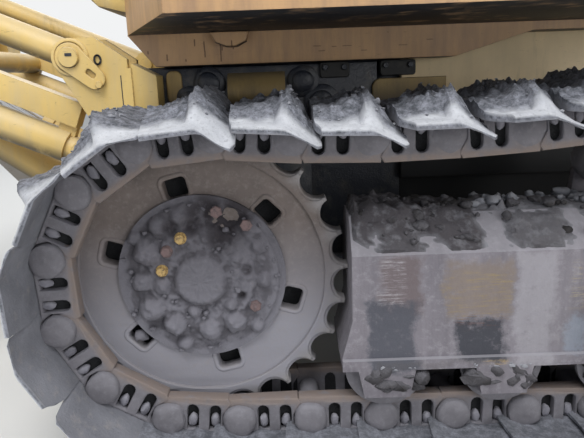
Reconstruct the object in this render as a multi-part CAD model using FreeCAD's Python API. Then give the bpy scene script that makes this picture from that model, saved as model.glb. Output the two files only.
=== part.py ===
import FreeCAD, Part
import math
import os

V = FreeCAD.Vector

# Running gear. X is measured forward from the sprocket axis, Y to the left, Z up from the ground.
TRACK_HALF_GAUGE = 940.0
SHOE_WIDTH = 560.0
PITCH = 203.2
TEETH = 25
LINK_COUNT = 39
SHOE_THICK = 13.0
GROUSER_HEIGHT = 50.0
LINK_BASE = 46.0
RAIL_HEIGHT = 64.0
RAIL_INNER = 66.0
RAIL_OUTER = 111.0
RAIL_END = 19.0
BUSHING_R = 32.0
IDLER_PIN_R = 387.0
BUSHING_SIDES = 6
FIRST_PIN_DEG = 81.2

PIN_LINE = GROUSER_HEIGHT + SHOE_THICK + LINK_BASE
PITCH_R = PITCH / (2 * math.sin(2 * math.pi / TEETH))
SPROCKET_Z = PIN_LINE + PITCH_R
IDLER_Z = PIN_LINE + IDLER_PIN_R
TOOTH_TIP_R = 414.0
TOOTH_ROOT_R = PITCH_R - BUSHING_R - 2.0
GAP_HALF = 46.0
GAP_STEPS = 6
TOOTH_THICK = 62.0
TOOTH_PHASE_DEG = FIRST_PIN_DEG - 2.5 * 360 / TEETH
WEB_THICK = 42.0
WEB_HOLES = 6
WEB_HOLE_CIRCLE_R = 262.0
WEB_HOLE_HALF_LONG = 33.0
WEB_HOLE_HALF_WIDE = 28.0
WEB_HOLE_CORNER = 10.0
WEB_HOLE_PHASE_DEG = 43.0

# Carrier rollers as (x, height of the pin line above them). The sag is that of a span one metre long.
# The lower run is a little arched, so the machine stands on the shoes at both ends.
CARRIER_PLACES = [(1150.0, 939.0), (2000.0, 930.0)]
CARRIER_R = 62.0
CARRIER_GAP = 12.0
TOP_SAG = 25.5
BOTTOM_ARCH = 2.0
ROLLER_FIRST_X = 505.0
ROLLER_SPACING = 320.0
ROLLER_COUNT = 6
ROLLER_TREAD_R = 94.0
ROLLER_FLANGE_R = 112.0
ROLLER_FLANGE_THICK = 16.0
RAIL_CLEARANCE = 0.3
SIDE_CLEARANCE = 4.0
ROLLER_AXLE_Z = PIN_LINE + BOTTOM_ARCH + RAIL_HEIGHT + RAIL_CLEARANCE + ROLLER_TREAD_R

# Track frames
FRAME_HALF_WIDTH = 146.0
FRAME_TOP_HALF = 70.0
FRAME_BOTTOM_Z = 305.0
FRAME_RIDGE_Z = 596.0
FRAME_TOP_Z = 690.0
FRAME_REAR_X = 414.0
FRAME_REAR_FLARE = 30.0
FRAME_LIP_HALF = 162.0
FRAME_LIP_THICK = 30.0
FRAME_WALL = 12.0
YOKE_PLATE = 30.0
PIVOT_SHAFT_X = 745.0
PIVOT_SHAFT_Z = 470.0
PIVOT_SHAFT_R = 75.0
EQUALIZER_X = 2180.0
EQUALIZER_HALF = 55.0
EQUALIZER_DEPTH = 80.0
EQUALIZER_CROWN = 40.0
ENGINE_MOUNT = 70.0
ENGINE_REAR_X = 1560.0
ENGINE_FRONT_X = 2380.0

# Hull
HULL_HALF = 330.0
HULL_FLOOR_Z = 380.0
HULL_FLOOR_THICK = 20.0
HULL_SIDE_THICK = 40.0
HULL_TOP_Z = 760.0
CASE_REAR_X = -240.0
CASE_FRONT_X = 650.0
CASE_HALF = 490.0
CASE_BOTTOM_Z = 420.0
CASE_TOP_Z = 1108.0
FINAL_DRIVE_R = 250.0

# Fenders, tank and cab
DECK_BOTTOM_Z = 1208.0
DECK_TOP_Z = 1330.0
DECK_EDGE_Y = 1190.0
DECK_REAR_X = -10.0
DECK_REAR_INNER_X = -246.0
DECK_FRONT_X = 1500.0
LOWER_BOX_Y = 590.0
LOWER_BOX_RISE_X = 805.0
LOWER_BOX_FRONT_X = 1054.0
CAB_HALF = 560.0
CAB_REAR_X = 40.0
CAB_FRONT_X = 1460.0
CAB_FLOOR_Z = 1262.0
CAB_TOP_Z = 2780.0
CAB_WALL = 50.0
ROOF_TOP_Z = 2960.0
GLASS = 8.0
DOOR_REAR_X = 620.0
DOOR_FRONT_X = 1340.0
DOOR_BOTTOM_Z = 1345.0
DOOR_TOP_Z = 2720.0
DOOR_THICK = 40.0
DOOR_RAIL = 70.0
DOOR_WAIST_Z = 1760.0
DOOR_GAP = 6.0
DOOR_HINGE_OUT = 10.0
HINGE_R = 8.0
TANK_TOP_Z = 2080.0
TANK_REAR_X = -440.0
RAIL_REAR_X = TANK_REAR_X + 40
RAIL_FRONT_X = -100.0
RAIL_RISE = 150.0
RAIL_R = 17.0
HINGE_LENGTH = 80.0
HINGE_GAP = 0.3
DOOR_HINGES = [1480.0, 2020.0, 2560.0]

# Nose
HOOD_LENGTH = 1000.0
HOOD_FRONT_X = CAB_FRONT_X + HOOD_LENGTH
HOOD_HALF = 420.0
HOOD_TOP_Z = 1950.0
HOOD_BOTTOM_Z = 1180.0
GUARD_HALF = 440.0
GUARD_LENGTH = 400.0
GUARD_FRONT_X = HOOD_FRONT_X + GUARD_LENGTH
GUARD_WALL = 28.0
GUARD_SILL = 30.0
GRILLE_BOTTOM_Z = 960.0
GRILLE_TOP_Z = HOOD_TOP_Z - 150
GRILLE_BARS = 13
HULL_FRONT_X = GUARD_FRONT_X + 10
SHEET = 12.0
EXHAUST = (1820.0, -190.0)
EXHAUST_TOP_Z = 2700.0
PRE_CLEANER = (2140.0, 170.0)

# Blade and its linkage
ARM_PIVOT_X = 1250.0
ARM_PIVOT_Z = 430.0
ARM_PIVOT_R = 55.0
ARM_INNER_Y = 1235.0
ARM_WIDTH = 120.0
ARM_HEIGHT = 240.0
LIFT_TRUNNION = (GUARD_FRONT_X - 110, 1550.0)
LIFT_EYE_BEHIND = 155.0
LIFT_EYE_Z = 425.0
LIFT_CYLINDER_Y = 560.0
LIFT_BARREL_R = 62.0
LIFT_HEAD_R = 70.0
LIFT_TRUNNION_R = 34.0
LIFT_ROD_R = 32.0
LIFT_BELOW_TRUNNION = 230.0
LIFT_STROKE = 940.0
LIFT_EYE_DRIFT = 11.0
LIFT_PIN_R = 26.0
LIFT_EYE_HALF = 38.0
LIFT_BARREL_END = 110.0
BLADE_HALF = 1700.0
BLADE_GAP = 114.0
BLADE_TOP_Z = 1290.0
BLADE_BOTTOM_Z = 60.0
BLADE_FACE_R = 1250.0
BLADE_SKIN = 26.0
BLADE_ARC_Z = 640.0
STRUT_Y = ARM_INNER_Y + ARM_WIDTH / 2
STRUT_FOOT = (2440.0, 610.0)
STRUT_HEAD_Z = 1100.0
STRUT_R = 46.0

# Ripper
LINK_PIN = (-430.0, 1146.0)
ARM_PIN = (-400.0, 815.0)
RIPPER_LINK = 850.0
RIPPER_RISE_DEG = 23.0
RIPPER_CHEEK_Y = 530.0
RIPPER_GAP = 100.0
CHEEK = 25.0
LINK_PIN_R = 29.0
LINK_EYE_R = 60.0
LINK_TUBE_R = 46.0
ARM_TUBE_R = 55.0
ARM_BEAM_RISE = 118.0
ARM_CROSS_PLACE = 700.0
ARM_PIN_R = 35.0
ARM_EYE_R = 74.0
RIPPER_CYLINDER_Y = 290.0
RIPPER_BARREL_PIN = (-390.0, 550.0)
RIPPER_ROD_PIN = (-1230.0, 1130.0)
RIPPER_BARREL_R = 60.0
RIPPER_ROD_R = 32.0
RIPPER_STROKE = 190.0
RIPPER_EYE_DRIFT = 15.0
RIPPER_PIN_R = 28.0
RIPPER_EYE_WIDTH = 70.0
SHANK_PLACES = [-900.0, 0.0, 900.0]
BEAM_HALF = 1080.0
PIN_CLEARANCE = 0.4
SIDE_GAP = 3.0


def box(x0, x1, y0, y1, z0, z1):
    return Part.makeBox(x1 - x0, y1 - y0, z1 - z0, V(x0, y0, z0))


def face_of(points):
    return Part.Face(Part.makePolygon(points + [points[0]]))


def plate_y(outline, y0, y1):
    """A plate whose side view is the outline of (x, z) points, between two Y values."""
    low, high = min(y0, y1), max(y0, y1)
    return face_of([V(x, low, z) for x, z in outline]).extrude(V(0, high - low, 0))


def plate_x(outline, x0, x1):
    return face_of([V(x0, y, z) for y, z in outline]).extrude(V(x1 - x0, 0, 0))


def plate_z(outline, z0, z1):
    return face_of([V(x, y, z0) for x, y in outline]).extrude(V(0, 0, z1 - z0))


def cyl_y(x, z, radius, y0, y1):
    low, high = min(y0, y1), max(y0, y1)
    return Part.makeCylinder(radius, high - low, V(x, low, z), V(0, 1, 0))


def cyl_z(x, y, radius, z0, z1):
    return Part.makeCylinder(radius, z1 - z0, V(x, y, z0), V(0, 0, 1))


def bar(start, end, radius):
    axis = end - start
    return Part.makeCylinder(radius, axis.Length, start, axis)


def square_bar(start, end, width_y, depth):
    """A box beam in an XZ plane between two points, depth measured square to its length."""
    along = (end - start).normalize()
    up = V(-along.z, 0, along.x) * (depth / 2)
    corners = [start + up, end + up, end - up, start - up]
    return plate_y([(c.x, c.z) for c in corners], start.y - width_y / 2, start.y + width_y / 2)


def joined(pieces):
    return pieces[0].fuse(pieces[1:]).removeSplitter()


def less(body, tools):
    return body.cut(tools).removeSplitter()


def mirrored(shape):
    return shape.mirror(V(0, 0, 0), V(0, 1, 0))


def both_sides(shape):
    return Part.makeCompound([shape, mirrored(shape)])


def on_line(start, end, distance):
    """The point at a distance from start on the way to end, as (x, z)."""
    dx, dz = end[0] - start[0], end[1] - start[1]
    length = math.hypot(dx, dz)
    return (start[0] + dx * distance / length, start[1] + dz * distance / length)


# Path of the chain pins

def arc(cx, cz, radius, start_deg, end_deg, steps):
    points = []
    for i in range(steps + 1):
        angle = math.radians(start_deg + (end_deg - start_deg) * i / steps)
        points.append((cx + radius * math.cos(angle), cz + radius * math.sin(angle)))
    return points


def sagging(start, end, sag, steps):
    points = []
    for i in range(1, steps):
        t = i / steps
        drop = 4 * sag * t * (1 - t)
        points.append((start[0] + (end[0] - start[0]) * t, start[1] + (end[1] - start[1]) * t - drop))
    return points


def chain_path(idler_x):
    """Closed pin path, from the top of the sprocket down its back and round the idler."""
    path = arc(0, SPROCKET_Z, PITCH_R, FIRST_PIN_DEG, 270, 240)
    path += sagging((0, PIN_LINE), (idler_x, PIN_LINE), -BOTTOM_ARCH, 160)
    path += arc(idler_x, IDLER_Z, IDLER_PIN_R, -90, 88, 240)
    stops = [path[-1]] + CARRIER_PLACES[::-1] + [path[0]]
    for i in range(len(stops) - 1):
        span = math.dist(stops[i], stops[i + 1]) / 1000
        path += sagging(stops[i], stops[i + 1], TOP_SAG * span ** 2, 60)
        path.append(stops[i + 1])
    return path


def walk_pins(path):
    """Pin places one pitch apart along the path, and how far past the start the last one falls."""
    pins = [path[0]]
    index = 0
    while len(pins) <= LINK_COUNT:
        px, pz = pins[-1]
        while index < len(path) - 1:
            ax, az = path[index]
            bx, bz = path[index + 1]
            if math.hypot(bx - px, bz - pz) >= PITCH:
                break
            index += 1
        else:
            left = PITCH - math.hypot(path[-1][0] - px, path[-1][1] - pz)
            return pins, left + PITCH * (LINK_COUNT - len(pins))
        low, high = 0.0, 1.0
        for _ in range(40):
            t = (low + high) / 2
            if math.hypot(ax + (bx - ax) * t - px, az + (bz - az) * t - pz) < PITCH:
                low = t
            else:
                high = t
        pins.append((ax + (bx - ax) * low, az + (bz - az) * low))
    ends = math.hypot(pins[-1][0] - path[-1][0], pins[-1][1] - path[-1][1])
    return pins, -ends


def solve_chain():
    """Idler place at which the last pin meets the first, with all pins one pitch apart."""
    near, far = (LINK_COUNT / 2 - 8) * PITCH, (LINK_COUNT / 2 - 5) * PITCH
    for _ in range(40):
        idler_x = (near + far) / 2
        pins, over = walk_pins(chain_path(idler_x))
        if over > 0:
            near = idler_x
        else:
            far = idler_x
    pins, over = walk_pins(chain_path(near))
    return near, pins[:LINK_COUNT]


IDLER_X, PINS = solve_chain()
BLADE_BACK_X = IDLER_X + IDLER_PIN_R + PIN_LINE + BLADE_GAP
LIFT_EYE = (BLADE_BACK_X - LIFT_EYE_BEHIND, LIFT_EYE_Z)


def link_points(k, pairs):
    """Points given as (along from the link's first pin, outward) in link k's own directions."""
    ax, az = PINS[k]
    bx, bz = PINS[(k + 1) % LINK_COUNT]
    length = math.hypot(bx - ax, bz - az)
    tx, tz = (bx - ax) / length, (bz - az) / length
    return [(ax + u * tx + v * tz, az + u * tz - v * tx) for u, v in pairs]


def make_track(side):
    """One fixed loop: shoes with grousers in its outline, two rows of link rails, and bushings between them."""
    shoe_out = LINK_BASE + SHOE_THICK
    tip = shoe_out + GROUSER_HEIGHT
    shoe = [(-48, shoe_out), (8, shoe_out), (13, tip), (29, tip), (36, shoe_out), (147, shoe_out)]
    outer = []
    inner = []
    rail_in = []
    rail_out = []
    for k in range(LINK_COUNT):
        outer += link_points(k, shoe)
        inner += link_points(k, [(0, LINK_BASE)])
        rail_in += link_points(k, [(RAIL_END, -RAIL_HEIGHT), (PITCH - RAIL_END, -RAIL_HEIGHT)])
        rail_out += link_points(k, [(0, LINK_BASE + 4)])
    centre = side * TRACK_HALF_GAUGE
    half = SHOE_WIDTH / 2
    shoes = plate_y(outer, centre - half, centre + half).cut(plate_y(inner, centre - half, centre + half))
    rows = []
    for y0, y1 in [(-RAIL_OUTER, -RAIL_INNER), (RAIL_INNER, RAIL_OUTER)]:
        hollow = plate_y(rail_in, centre + y0, centre + y1)
        rows.append(plate_y(rail_out, centre + y0, centre + y1).cut(hollow))
    for k in range(LINK_COUNT):
        bushing = arc(0, 0, BUSHING_R, 0, 360, BUSHING_SIDES)[:-1]
        rows.append(plate_y(link_points(k, bushing), centre - RAIL_INNER, centre + RAIL_INNER))
    return shoes.fuse(rows).removeSplitter()


# Sprocket, idler and rollers

def tooth_outline():
    """Rim of the sprocket: a round-bottomed gap for each bushing, worn wider than it, between narrow teeth."""
    points = []
    for k in range(TEETH):
        centre = math.radians(TOOTH_PHASE_DEG) + 2 * math.pi * (k + 0.5) / TEETH
        for i in range(GAP_STEPS + 1):
            turn = math.pi * (1 - i / GAP_STEPS)
            angle = centre + GAP_HALF * math.cos(turn) / TOOTH_TIP_R
            radius = TOOTH_TIP_R - (TOOTH_TIP_R - TOOTH_ROOT_R) * math.sin(turn)
            points.append((radius * math.cos(angle), SPROCKET_Z + radius * math.sin(angle)))
    return points


def web_hole(angle_deg, y0, y1):
    a = math.radians(angle_deg)
    rx, rz = math.cos(a), math.sin(a)
    u, w, c = WEB_HOLE_HALF_WIDE, WEB_HOLE_HALF_LONG, WEB_HOLE_CORNER
    local = [(-u, -w + c), (-u, w - c), (-u + c, w), (u - c, w), (u, w - c), (u, -w + c), (u - c, -w),
             (-u + c, -w)]
    outline = []
    for r, t in local:
        radius = WEB_HOLE_CIRCLE_R + r
        outline.append((radius * rx - t * rz, SPROCKET_Z + radius * rz + t * rx))
    return plate_y(outline, y0, y1)


def make_sprocket():
    """Right sprocket: toothed rim, thinner web with six holes, and the stepped hub cover."""
    y = -TRACK_HALF_GAUGE
    rim = plate_y(tooth_outline(), y - TOOTH_THICK / 2, y + TOOTH_THICK / 2)
    recess = (TOOTH_THICK - WEB_THICK) / 2
    dish = 348.0
    cuts = [cyl_y(0, SPROCKET_Z, dish, y - TOOTH_THICK / 2 - 1, y - TOOTH_THICK / 2 + recess),
            cyl_y(0, SPROCKET_Z, dish, y + TOOTH_THICK / 2 - recess, y + TOOTH_THICK / 2 + 1)]
    for k in range(WEB_HOLES):
        cuts.append(web_hole(WEB_HOLE_PHASE_DEG + 360.0 / WEB_HOLES * k, y - 60, y + 60))
    web = rim.cut(cuts)
    hub = [cyl_y(0, SPROCKET_Z, 212, y - 44, y - 10), cyl_y(0, SPROCKET_Z, 146, y - 66, y - 10),
           cyl_y(0, SPROCKET_Z, 74, y - 104, y - 10)]
    return joined([web] + hub)


def make_idler():
    y = -TRACK_HALF_GAUGE
    tread = IDLER_PIN_R * math.cos(math.asin(PITCH / 2 / IDLER_PIN_R)) - RAIL_HEIGHT - RAIL_CLEARANCE
    wheel = joined([cyl_y(IDLER_X, IDLER_Z, tread, y - RAIL_OUTER, y + RAIL_OUTER),
                    cyl_y(IDLER_X, IDLER_Z, tread + 18, y - RAIL_INNER + SIDE_CLEARANCE,
                          y + RAIL_INNER - SIDE_CLEARANCE)])
    dish = [cyl_y(IDLER_X, IDLER_Z, tread - 45, y - RAIL_OUTER - 1, y - 40),
            cyl_y(IDLER_X, IDLER_Z, tread - 45, y + 40, y + RAIL_OUTER + 1)]
    hub = cyl_y(IDLER_X, IDLER_Z, 95, y - RAIL_OUTER - 9, y + RAIL_OUTER + 9)
    return joined([wheel.cut(dish), hub])


def roller(x, z, tread_r, flange_r, y):
    """A roller that carries both rails, with a flange outside each rail."""
    edge = RAIL_OUTER + SIDE_CLEARANCE
    pieces = [cyl_y(x, z, tread_r, y - edge, y + edge),
              cyl_y(x, z, flange_r, y - edge - ROLLER_FLANGE_THICK, y - edge),
              cyl_y(x, z, flange_r, y + edge, y + edge + ROLLER_FLANGE_THICK)]
    return joined(pieces)


def make_rollers():
    solids = []
    for k in range(ROLLER_COUNT):
        x = ROLLER_FIRST_X + ROLLER_SPACING * k
        solids.append(roller(x, ROLLER_AXLE_Z, ROLLER_TREAD_R, ROLLER_FLANGE_R, -TRACK_HALF_GAUGE))
    for x, pin_z in CARRIER_PLACES:
        solids.append(carrier(x, carrier_axle_z(pin_z)))
    right = Part.makeCompound(solids)
    return both_sides(right)


def carrier_axle_z(pin_z):
    """Axle height of a carrier roller under a place on the pin line; the rails pass a little above it."""
    return pin_z - RAIL_HEIGHT - RAIL_CLEARANCE - CARRIER_GAP - CARRIER_R


def carrier(x, z):
    y = -TRACK_HALF_GAUGE
    wheel = joined([cyl_y(x, z, CARRIER_R, y - RAIL_OUTER, y + RAIL_OUTER),
                    cyl_y(x, z, CARRIER_R + 9, y - RAIL_INNER + SIDE_CLEARANCE,
                          y + RAIL_INNER - SIDE_CLEARANCE)])
    return wheel


def make_track_frame():
    """Right track frame: box section, bottom lip, roller brackets, idler yoke and carrier posts."""
    y = -TRACK_HALF_GAUGE
    front = IDLER_X - 360
    section = [(-FRAME_HALF_WIDTH, FRAME_BOTTOM_Z), (-FRAME_HALF_WIDTH, FRAME_RIDGE_Z),
               (-FRAME_TOP_HALF, FRAME_TOP_Z),
               (FRAME_TOP_HALF, FRAME_TOP_Z), (FRAME_HALF_WIDTH, FRAME_RIDGE_Z), (FRAME_HALF_WIDTH,
                                                                                  FRAME_BOTTOM_Z)]
    beam = plate_x([(y + a, z) for a, z in section], FRAME_REAR_X, front)
    foot = FRAME_REAR_X - FRAME_REAR_FLARE
    flare = plate_y([(FRAME_REAR_X, FRAME_BOTTOM_Z + 110), (foot, FRAME_BOTTOM_Z),
                     (FRAME_REAR_X, FRAME_BOTTOM_Z)],
                    y - FRAME_HALF_WIDTH, y + FRAME_HALF_WIDTH)
    lip = box(foot, front, y - FRAME_LIP_HALF, y + FRAME_LIP_HALF,
              FRAME_BOTTOM_Z - FRAME_LIP_THICK, FRAME_BOTTOM_Z)
    pieces = [beam, flare, lip]
    cuts = []
    for k in range(ROLLER_COUNT):
        x = ROLLER_FIRST_X + ROLLER_SPACING * k
        pocket = FRAME_HALF_WIDTH - FRAME_WALL
        cuts.append(cyl_y(x, ROLLER_AXLE_Z, ROLLER_FLANGE_R + 8, y - pocket, y + pocket))
        for side in (-1, 1):
            low = ROLLER_AXLE_Z - 74
            outline = [(x - 84, FRAME_BOTTOM_Z - 2), (x - 62, low), (x + 62, low), (x + 84, FRAME_BOTTOM_Z - 2)]
            bracket = plate_y(outline, y + side * pocket, y + side * FRAME_LIP_HALF)
            pieces.append(bracket)
    yoke_y = RAIL_OUTER + 9
    for side in (-1, 1):
        yoke = [(front - 90, IDLER_Z - 110), (front - 90, IDLER_Z + 65), (front, IDLER_Z + 90),
                (IDLER_X + 60, IDLER_Z + 72),
                (IDLER_X + 110, IDLER_Z), (IDLER_X + 60, IDLER_Z - 72), (front, IDLER_Z - 96)]
        pieces.append(plate_y(yoke, y + side * yoke_y, y + side * (yoke_y + YOKE_PLATE)))
    for x, pin_z in CARRIER_PLACES:
        z = carrier_axle_z(pin_z)
        foot_z = FRAME_RIDGE_Z - 60
        inner = y + RAIL_OUTER + 6
        pieces.append(plate_y([(x - 70, foot_z), (x - 34, z + 30), (x + 34, z + 30), (x + 70, foot_z)],
                              inner, inner + 30))
        pieces.append(cyl_y(x, z, 24, y + RAIL_OUTER, inner + 4))
    body = joined(pieces)
    trunnion = cyl_y(ARM_PIVOT_X, ARM_PIVOT_Z, ARM_PIVOT_R, y - FRAME_HALF_WIDTH + 5,
                     -(ARM_INNER_Y + ARM_WIDTH + 18))
    pad = cyl_y(ARM_PIVOT_X, ARM_PIVOT_Z, 85, y - FRAME_HALF_WIDTH + 5, y - FRAME_HALF_WIDTH - 30)
    cap = cyl_y(ARM_PIVOT_X, ARM_PIVOT_Z, 85, -(ARM_INNER_Y + ARM_WIDTH + SIDE_GAP),
                -(ARM_INNER_Y + ARM_WIDTH + 18))
    body = joined([body.cut(cuts), trunnion, pad, cap])
    return body


# Hull

def make_final_drive():
    y0 = -CASE_HALF
    y1 = -(TRACK_HALF_GAUGE - TOOTH_THICK / 2 + (TOOTH_THICK - WEB_THICK) / 2)
    return joined([cyl_y(0, SPROCKET_Z, FINAL_DRIVE_R, y0 - 125, y1 + 120), cyl_y(0, SPROCKET_Z, 205, y0, y1),
                   box(-170, 330, y0 - 120, y0, 450, 800)])


def make_steering_case():
    outline = [(CASE_REAR_X, CASE_BOTTOM_Z + 60), (CASE_REAR_X, CASE_TOP_Z), (CASE_FRONT_X, CASE_TOP_Z),
               (CASE_FRONT_X, CASE_BOTTOM_Z), (CASE_REAR_X + 120, CASE_BOTTOM_Z)]
    body = plate_y(outline, -CASE_HALF + 40, CASE_HALF - 40)
    flange = plate_y([(CASE_REAR_X, 760), (CASE_REAR_X, CASE_TOP_Z - 6), (566, CASE_TOP_Z - 6), (566, 980),
                      (420, 760)],
                     -CASE_HALF, CASE_HALF)
    return joined([body, flange, plate_y([(-170, 450), (-170, 800), (330, 800), (330, 450)], -CASE_HALF,
                                         CASE_HALF)])


def make_main_frame():
    """Side rails, bottom guard, nose plate, pivot shaft stubs and the hull side plates above the rails."""
    inner = HULL_HALF - HULL_SIDE_THICK
    front = HOOD_FRONT_X - 60
    low = HULL_TOP_Z - 60
    pieces = [box(CASE_FRONT_X, HULL_FRONT_X, -HULL_HALF, HULL_HALF, HULL_FLOOR_Z,
                  HULL_FLOOR_Z + HULL_FLOOR_THICK)]
    for side in (-1, 1):
        y0, y1 = sorted((side * inner, side * HULL_HALF))
        pieces.append(box(CASE_FRONT_X, HULL_FRONT_X, y0, y1, HULL_FLOOR_Z, HULL_TOP_Z))
        s0, s1 = sorted((side * HULL_HALF, side * (TRACK_HALF_GAUGE - FRAME_HALF_WIDTH)))
        pieces.append(cyl_y(PIVOT_SHAFT_X, PIVOT_SHAFT_Z, PIVOT_SHAFT_R, s0, s1))
        p0, p1 = sorted((side * (CASE_HALF - 30), side * CASE_HALF))
        side_plate = plate_y([(CASE_FRONT_X, low), (CASE_FRONT_X, CASE_TOP_Z), (LOWER_BOX_RISE_X, CASE_TOP_Z),
                              (LOWER_BOX_FRONT_X, HOOD_BOTTOM_Z), (front - 100, HOOD_BOTTOM_Z),
                              (front, HOOD_BOTTOM_Z - 100), (front, low)], p0, p1)
        pieces.append(side_plate)
        w0, w1 = sorted((side * inner, side * CASE_HALF))
        pieces.append(box(CASE_FRONT_X, front, w0, w1, low, HULL_TOP_Z))
        for x in (ENGINE_REAR_X + 40, ENGINE_FRONT_X - 110):
            m0, m1 = sorted((side * (inner - 60), side * HULL_HALF))
            pieces.append(box(x, x + 100, m0, m1, HULL_TOP_Z - 10, HULL_TOP_Z + ENGINE_MOUNT))
    pieces.append(box(HULL_FRONT_X - 60, HULL_FRONT_X, -HULL_HALF, HULL_HALF, HULL_FLOOR_Z, HULL_TOP_Z))
    slot = box(EQUALIZER_X - EQUALIZER_HALF, EQUALIZER_X + EQUALIZER_HALF, -CASE_HALF - 1, CASE_HALF + 1,
               FRAME_TOP_Z, FRAME_TOP_Z + EQUALIZER_DEPTH + EQUALIZER_CROWN + 5)
    return joined(pieces).cut(slot)


def make_equalizer_bar():
    """Cross bar that rests on both track frames and in the slot of the main frame."""
    reach = TRACK_HALF_GAUGE + 40
    low = FRAME_TOP_Z
    edge = low + EQUALIZER_DEPTH
    crown = edge + EQUALIZER_CROWN
    outline = [(-reach, low), (-reach, edge - 30), (-HULL_HALF, crown), (HULL_HALF, crown),
               (reach, edge - 30), (reach, low)]
    return plate_x(outline, EQUALIZER_X - EQUALIZER_HALF, EQUALIZER_X + EQUALIZER_HALF)


# Machinery

def make_engine():
    return box(ENGINE_REAR_X, ENGINE_FRONT_X, -290, 290, HULL_TOP_Z + ENGINE_MOUNT, HOOD_TOP_Z - 190)


def make_radiator():
    x = HOOD_FRONT_X + 40
    return box(x, x + 120, -380, 380, HULL_TOP_Z + GUARD_SILL, HOOD_TOP_Z - 90)


def make_guard():
    """Nose: side walls, top and lower cross plate, with the trunnion yokes for the lift cylinders."""
    rear = HOOD_FRONT_X
    front = GUARD_FRONT_X
    side = [(rear, HULL_TOP_Z), (rear, HOOD_TOP_Z), (front - 60, HOOD_TOP_Z - 30), (front, HOOD_TOP_Z - 110),
            (front, HULL_TOP_Z)]
    outer = plate_y(side, -GUARD_HALF, GUARD_HALF)
    inner = GUARD_HALF - GUARD_WALL
    hollow = box(rear - 1, front - 30, -inner, inner, HULL_TOP_Z - 1, HOOD_TOP_Z - 60)
    opening = box(front - 60, front + 10, -GUARD_HALF + 70, GUARD_HALF - 70, GRILLE_BOTTOM_Z, GRILLE_TOP_Z)
    sill_top = HULL_TOP_Z + GUARD_SILL
    pieces = [outer.cut([hollow, opening]), box(rear, front, -GUARD_HALF, GUARD_HALF, HULL_TOP_Z, sill_top),
              box(rear, front + 20, -inner, inner, HULL_TOP_Z, sill_top)]
    x, z = LIFT_TRUNNION
    yoke = 40
    for s in (-1, 1):
        root = s * (GUARD_HALF - 10)
        inner_face = s * (LIFT_CYLINDER_Y - LIFT_HEAD_R - SIDE_GAP)
        outer_face = s * (LIFT_CYLINDER_Y + LIFT_HEAD_R + SIDE_GAP)
        tip = outer_face + s * yoke
        pieces.append(cyl_y(x, z, 70, root, inner_face))
        pieces.append(cyl_y(x, z, 70, outer_face, tip))
        y0, y1 = sorted((outer_face, tip))
        pieces.append(box(x - 190, x - 40, y0, y1, z - 50, z + 50))
        y0, y1 = sorted((root, tip))
        pieces.append(box(x - 190, x - 120, y0, y1, z - 60, z + 60))
    return joined(pieces).cut(cyl_y(x, z, LIFT_TRUNNION_R + PIN_CLEARANCE, -TRACK_HALF_GAUGE,
                                    TRACK_HALF_GAUGE))


def make_grille():
    x0 = GUARD_FRONT_X - 55
    y = GUARD_HALF - 70
    rim = 30
    frame = box(x0, x0 + 40, -y, y, GRILLE_BOTTOM_Z, GRILLE_TOP_Z)
    frame = frame.cut(box(x0 - 1, x0 + 41, -y + rim, y - rim, GRILLE_BOTTOM_Z + rim, GRILLE_TOP_Z - rim))
    bars = []
    step = (GRILLE_TOP_Z - GRILLE_BOTTOM_Z - rim) / (GRILLE_BARS + 1)
    for k in range(GRILLE_BARS):
        z = GRILLE_BOTTOM_Z + rim / 2 + step * (k + 1) - 8
        bars.append(box(x0 + 8, x0 + 32, -y, y, z, z + 16))
    return joined([frame] + bars)


def hood_section(half, top, corner, bottom):
    """Cross section of the hood's tunnel, as (y, z), with its upper corners cut."""
    return [(-half, bottom), (-half, top - corner), (-half + corner, top), (half - corner, top),
            (half, top - corner),
            (half, bottom)]


def make_hood():
    """Thin shell over the engine, open below and at both ends, with a shelf along each side."""
    shell = plate_x(hood_section(HOOD_HALF, HOOD_TOP_Z, 90, HOOD_BOTTOM_Z), CAB_FRONT_X + 20, HOOD_FRONT_X)
    inside = hood_section(HOOD_HALF - SHEET, HOOD_TOP_Z - SHEET, 83, HOOD_BOTTOM_Z - 1)
    shell = shell.cut(plate_x(inside, CAB_FRONT_X, HOOD_FRONT_X + 1))
    shelf = []
    for side in (-1, 1):
        y0, y1 = sorted((side * (HOOD_HALF - SHEET), side * CASE_HALF))
        shelf.append(box(CAB_FRONT_X + 20, HOOD_FRONT_X - 160, y0, y1, HOOD_BOTTOM_Z, HOOD_BOTTOM_Z + SHEET))
    return joined([shell] + shelf)


def make_exhaust():
    x, y = EXHAUST
    top = V(x, y, EXHAUST_TOP_Z)
    return joined([cyl_z(x, y, 62, HOOD_TOP_Z, EXHAUST_TOP_Z - 280),
                   cyl_z(x, y, 48, EXHAUST_TOP_Z - 300, EXHAUST_TOP_Z),
                   bar(top, top + V(-60, 0, 100), 48)])


def make_pre_cleaner():
    x, y = PRE_CLEANER
    bowl = HOOD_TOP_Z + 230
    return joined([cyl_z(x, y, 60, HOOD_TOP_Z, bowl), cyl_z(x, y, 118, bowl, bowl + 150),
                   cyl_z(x, y, 80, bowl + 150, bowl + 190)])


# Fenders, tank and cab

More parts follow.
